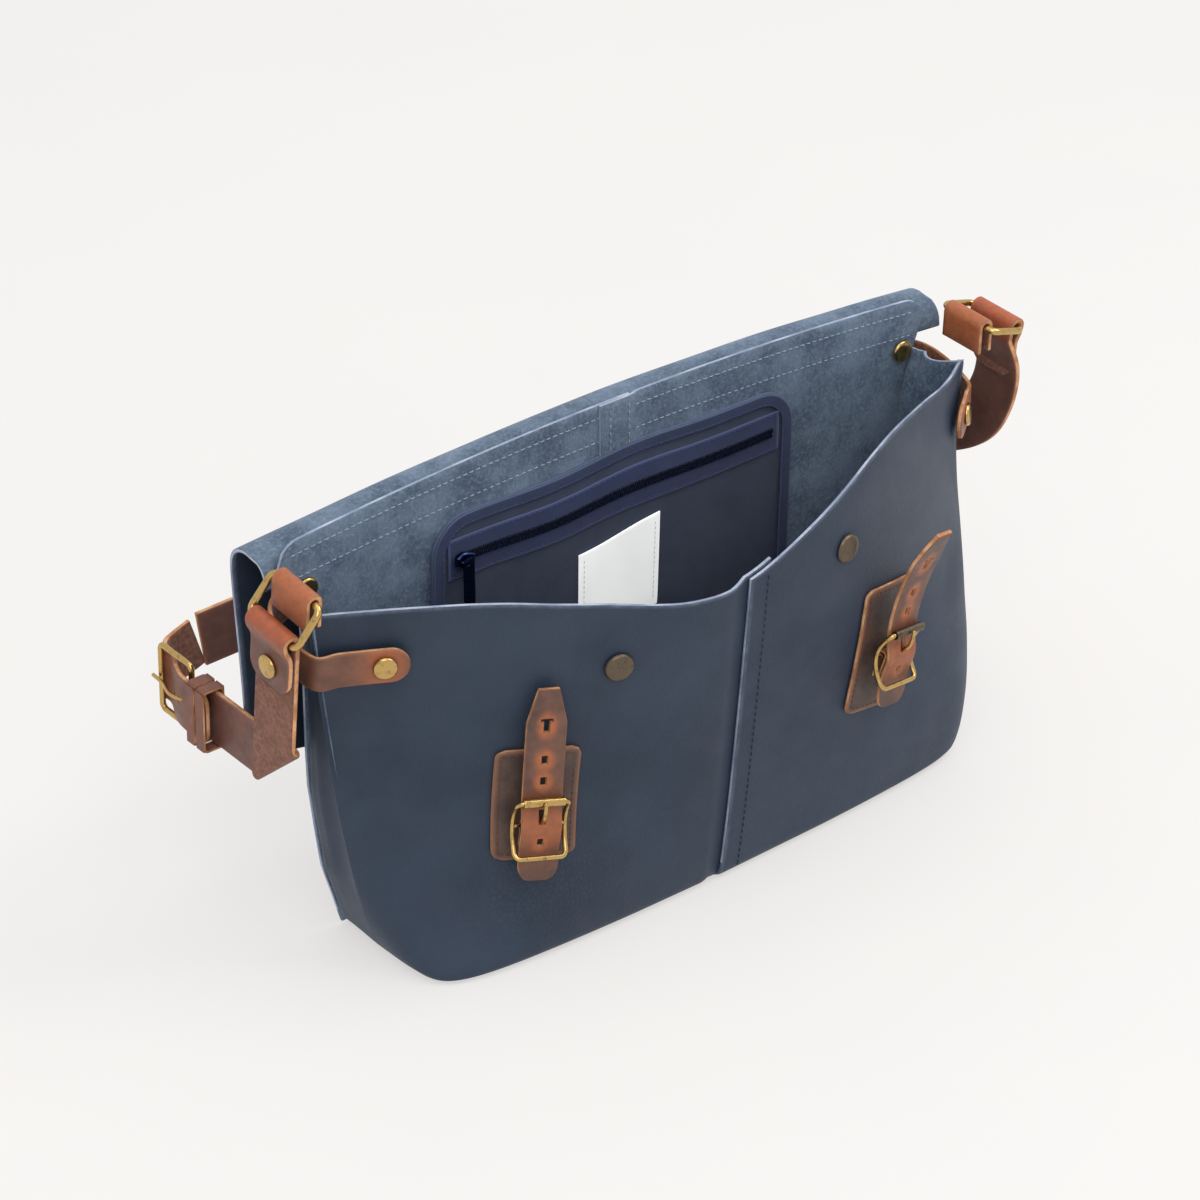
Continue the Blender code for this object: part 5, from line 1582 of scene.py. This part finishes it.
def gather(parts):
    """Join lists of points and faces into one."""
    verts, faces = [], []
    for part, quads in parts:
        faces += [[k + len(verts) for k in q] for q in quads]
        verts += list(part)
    return verts, faces


def zip_teeth(depth):
    """Two rows of interlocked teeth along the zip's line."""
    parts = []
    for k in range(int((2 * ZIP_HALF - 8) / TOOTH_PITCH)):
        x = 4 - ZIP_HALF + k * TOOTH_PITCH
        for side in (-1, 1):
            at, before, after = (np.array(pocket_point(x + shift, ZIP_Z, depth + TOOTH[2] / 2))
                                 for shift in (TOOTH_PITCH / 2 if side > 0 else 0, -1, 1))
            right = unit(after - before)
            up = unit(np.cross(vec(0, -1, 0), right) * -1)
            up = up * np.sign(up[2])
            parts.append(block(at + up * side * 1.25, right, up, vec(0, -1, 0), TOOTH, 0.7))
    verts, faces = gather(parts)
    piece("zip_teeth_rows", verts, faces, [TEETH], "root", replaces=["zip_teeth"], slot="zip_teeth",
          sharp=30)


def zip_slider():
    """The slider's waisted body and the bridge that its puller hangs on."""
    low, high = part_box("zip_slider")
    centre = (np.array(low) + np.array(high)) / 2 / MM
    size = (np.array(high) - np.array(low)) / MM
    out = vec(0, -1, 0)
    wide = [(-size[0] / 2, 0.55), (-size[0] / 2 + 3, 1.0), (0, 0.95), (size[0] / 2 - 1.5, 0.6),
            (size[0] / 2, 0.42)]
    loop = [*wide, *((u, -v) for u, v in reversed(wide))]
    back = size[1] / 2
    layers = ((-back, 0.92), (-back + 0.5, 1.0), (back - 0.6, 1.0), (back, 0.86))
    verts = [centre + vec(u * share, 0, v * size[2] / 2 * share) + out * o for o, share in layers
             for u, v in loop]
    piece("zip_slider_body", verts, ring_faces(len(layers), len(loop), flip=True), [SLIDER], "zip_slider",
          replaces=["zip_slider"], slot="zip_teeth", sharp=35)
    arch = ((-3.4, 1.2), (-3.0, 2.3), (0, 2.7), (3.0, 2.3), (3.4, 1.2))
    bridge = [centre + vec(x, 0, 0) + out * o for x, o in arch]
    tube("zip_slider_bridge", spline(bridge, 0.5), 0.7, SLIDER, "zip_slider", slot="zip_teeth")


def zip_puller():
    """The slider's long flat puller, with a hole near its top."""
    low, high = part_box("zip_puller")
    x0, x1 = low[0] / MM, high[0] / MM
    y = (low[1] + high[1]) / 2 / MM
    z0, z1 = low[2] / MM, high[2] / MM
    middle = (x0 + x1) / 2
    outline = rounded_loop((x1 - x0) / 2, (z1 - z0) / 2, 2.6, 6)
    hole = [(u * 0.45, v * 0.12 + (z1 - z0) / 2 - 4.0) for u, v in rounded_loop(3.0, 12, 2.4, 6)]
    layers = [(outline, out, share, share) for out, share in
              ((0.75, 0.93), (0.45, 1.0), (-0.45, 1.0), (-0.75, 0.93))]
    layers += [(hole, out, share, 1.0) for out, share in
               ((-0.75, 1.12), (-0.55, 1.0), (0.55, 1.0), (0.75, 1.12))]
    verts = [vec(middle + u * wide, y + out, (z0 + z1) / 2 + v * high) for loop, out, wide, high in layers
             for u, v in loop]
    piece("zip_puller_plate", verts, ring_faces(len(layers), len(outline), loop=True), [SLIDER],
          "zip_puller", replaces=["zip_puller"], slot="zip_teeth", sharp=35)


def label(depth):
    """A blank woven label, sewn down its two sides and a little slack between them."""
    rows, cols = 30, 34
    grid = np.zeros((rows, cols, 3))
    for i, v in enumerate(np.linspace(0, 1, rows)):
        for j, u in enumerate(np.linspace(-1, 1, cols)):
            x = LABEL_X + u * LABEL_HALF
            z = lerp(LABEL_LOW, LABEL_HIGH, v) + 2.4 * u * v + 1.0 * math.sin(u * 2.2) * v
            slack = 0.9 * math.cos(u * math.pi / 2) * (0.5 + 0.5 * v)
            p = np.array(pocket_point(x, z, depth + LABEL_T + slack + 0.25))
            grid[i, j] = p - vec(0, 0, pocket_wave(x, z) * 0.6)
    sheet("label_patch", grid, LABEL_T, [LABEL, LABEL, LABEL], "root", flip=True, replaces=["label"],
          slot="label_cloth")
    for k, j in enumerate((2, cols - 3)):
        stitches(f"label_stitches_{k + 1}", grid[2:-1, j], (0, -1, 0), WHITE_THREAD, "root", length=2.0,
                 gap=0.9, radius=0.22)


# Seams ------------------------------------------------------------------------

def back_seams():
    """Stitches inside the back: the flap's two sewn rows and the middle lap's two columns."""
    for k, drop in enumerate((7.0, 20.0)):
        path = []
        for x in np.linspace(-199, 199, 160):
            z = back_top(x) - drop
            path.append((x, back_y(x, z) - LEATHER - 0.1, z))
        stitches(f"flap_stitches_{k + 1}", path, (0, -1, 0), PALE_THREAD, "root", length=3.0, gap=1.0,
                 radius=0.3, lift=0.15)
    for k, across in enumerate((6.0, 18.0)):
        path = []
        for z in np.linspace(POCKET_HIGH - 8, BACK_TOP_Z - 3, 12):
            x = BACK_LAP_X + across
            path.append((x, back_y(x, z) - LEATHER - 1.8, z))
        stitches(f"back_lap_stitches_{k + 1}", path, (0, -1, 0), PALE_THREAD, "root", length=3.0, gap=1.0,
                 radius=0.3, lift=0.15)


# Stage ------------------------------------------------------------------------

VIEW_TURN = math.radians(40.0)
VIEW_RISE = math.radians(31.0)
VIEW_DISTANCE = 2200.0
VIEW_TARGET = vec(0, 0, 110)
VIEW_SHIFT = (-0.0487, 0.0403)
LENS = 132.0
SENSOR = 36.0
FAR = 50.0
FLOOR_HALF = 6000.0


def camera():
    look = vec(math.sin(VIEW_TURN) * math.cos(VIEW_RISE), math.cos(VIEW_TURN) * math.cos(VIEW_RISE),
               -math.sin(VIEW_RISE))
    data = bpy.data.cameras.new("camera")
    data.lens = LENS
    data.sensor_width = SENSOR
    data.shift_x, data.shift_y = VIEW_SHIFT
    data.clip_end = FAR
    obj = bpy.data.objects.new("camera", data)
    obj.location = Vector(VIEW_TARGET - look * VIEW_DISTANCE) * MM
    obj.rotation_euler = Vector(look).to_track_quat("-Z", "Y").to_euler()
    bpy.context.scene.collection.objects.link(obj)
    bpy.context.scene.camera = obj


def area_light(name, place, size, power, colour=(1, 1, 1)):
    data = bpy.data.lights.new(name, "AREA")
    data.shape = "DISK"
    data.size = size
    data.energy = power
    data.color = colour
    obj = bpy.data.objects.new(name, data)
    obj.location = place
    obj.rotation_euler = (Vector((0, 0, 0.1)) - Vector(place)).to_track_quat("-Z", "Y").to_euler()
    bpy.context.scene.collection.objects.link(obj)


def studio():
    verts = [(x * FLOOR_HALF, y * FLOOR_HALF, 0) for x, y in ((-1, -1), (1, -1), (1, 1), (-1, 1))]
    floor = piece("floor", verts, [[0, 1, 2, 3]], [floor_material()], None)
    world = bpy.data.worlds.new("studio")
    world.use_nodes = True
    background = world.node_tree.nodes["Background"]
    background.inputs["Color"].default_value = (0.98, 0.985, 1.0, 1.0)
    background.inputs["Strength"].default_value = 0.85
    bpy.context.scene.world = world
    area_light("key", (1.3, -0.8, 2.0), 1.4, 20.0, (1.0, 0.985, 0.96))
    area_light("fill", (-1.0, -1.5, 1.9), 1.8, 16.0)
    area_light("top", (-0.2, -0.1, 2.5), 2.2, 12.0)
    bpy.context.scene.view_settings.view_transform = "Standard"


camera()
studio()
for half_sign in SIDE:
    shell_half(half_sign)
    back_half_panel(half_sign)
base()
front_seam()
flap()
snaps()
for buckle_name in BUCKLE_X:
    closing_buckle(buckle_name)
rings()
ring_tabs()
end_bands()
long_strap(strap_buckle(*short_strap()))
pocket()
back_seams()
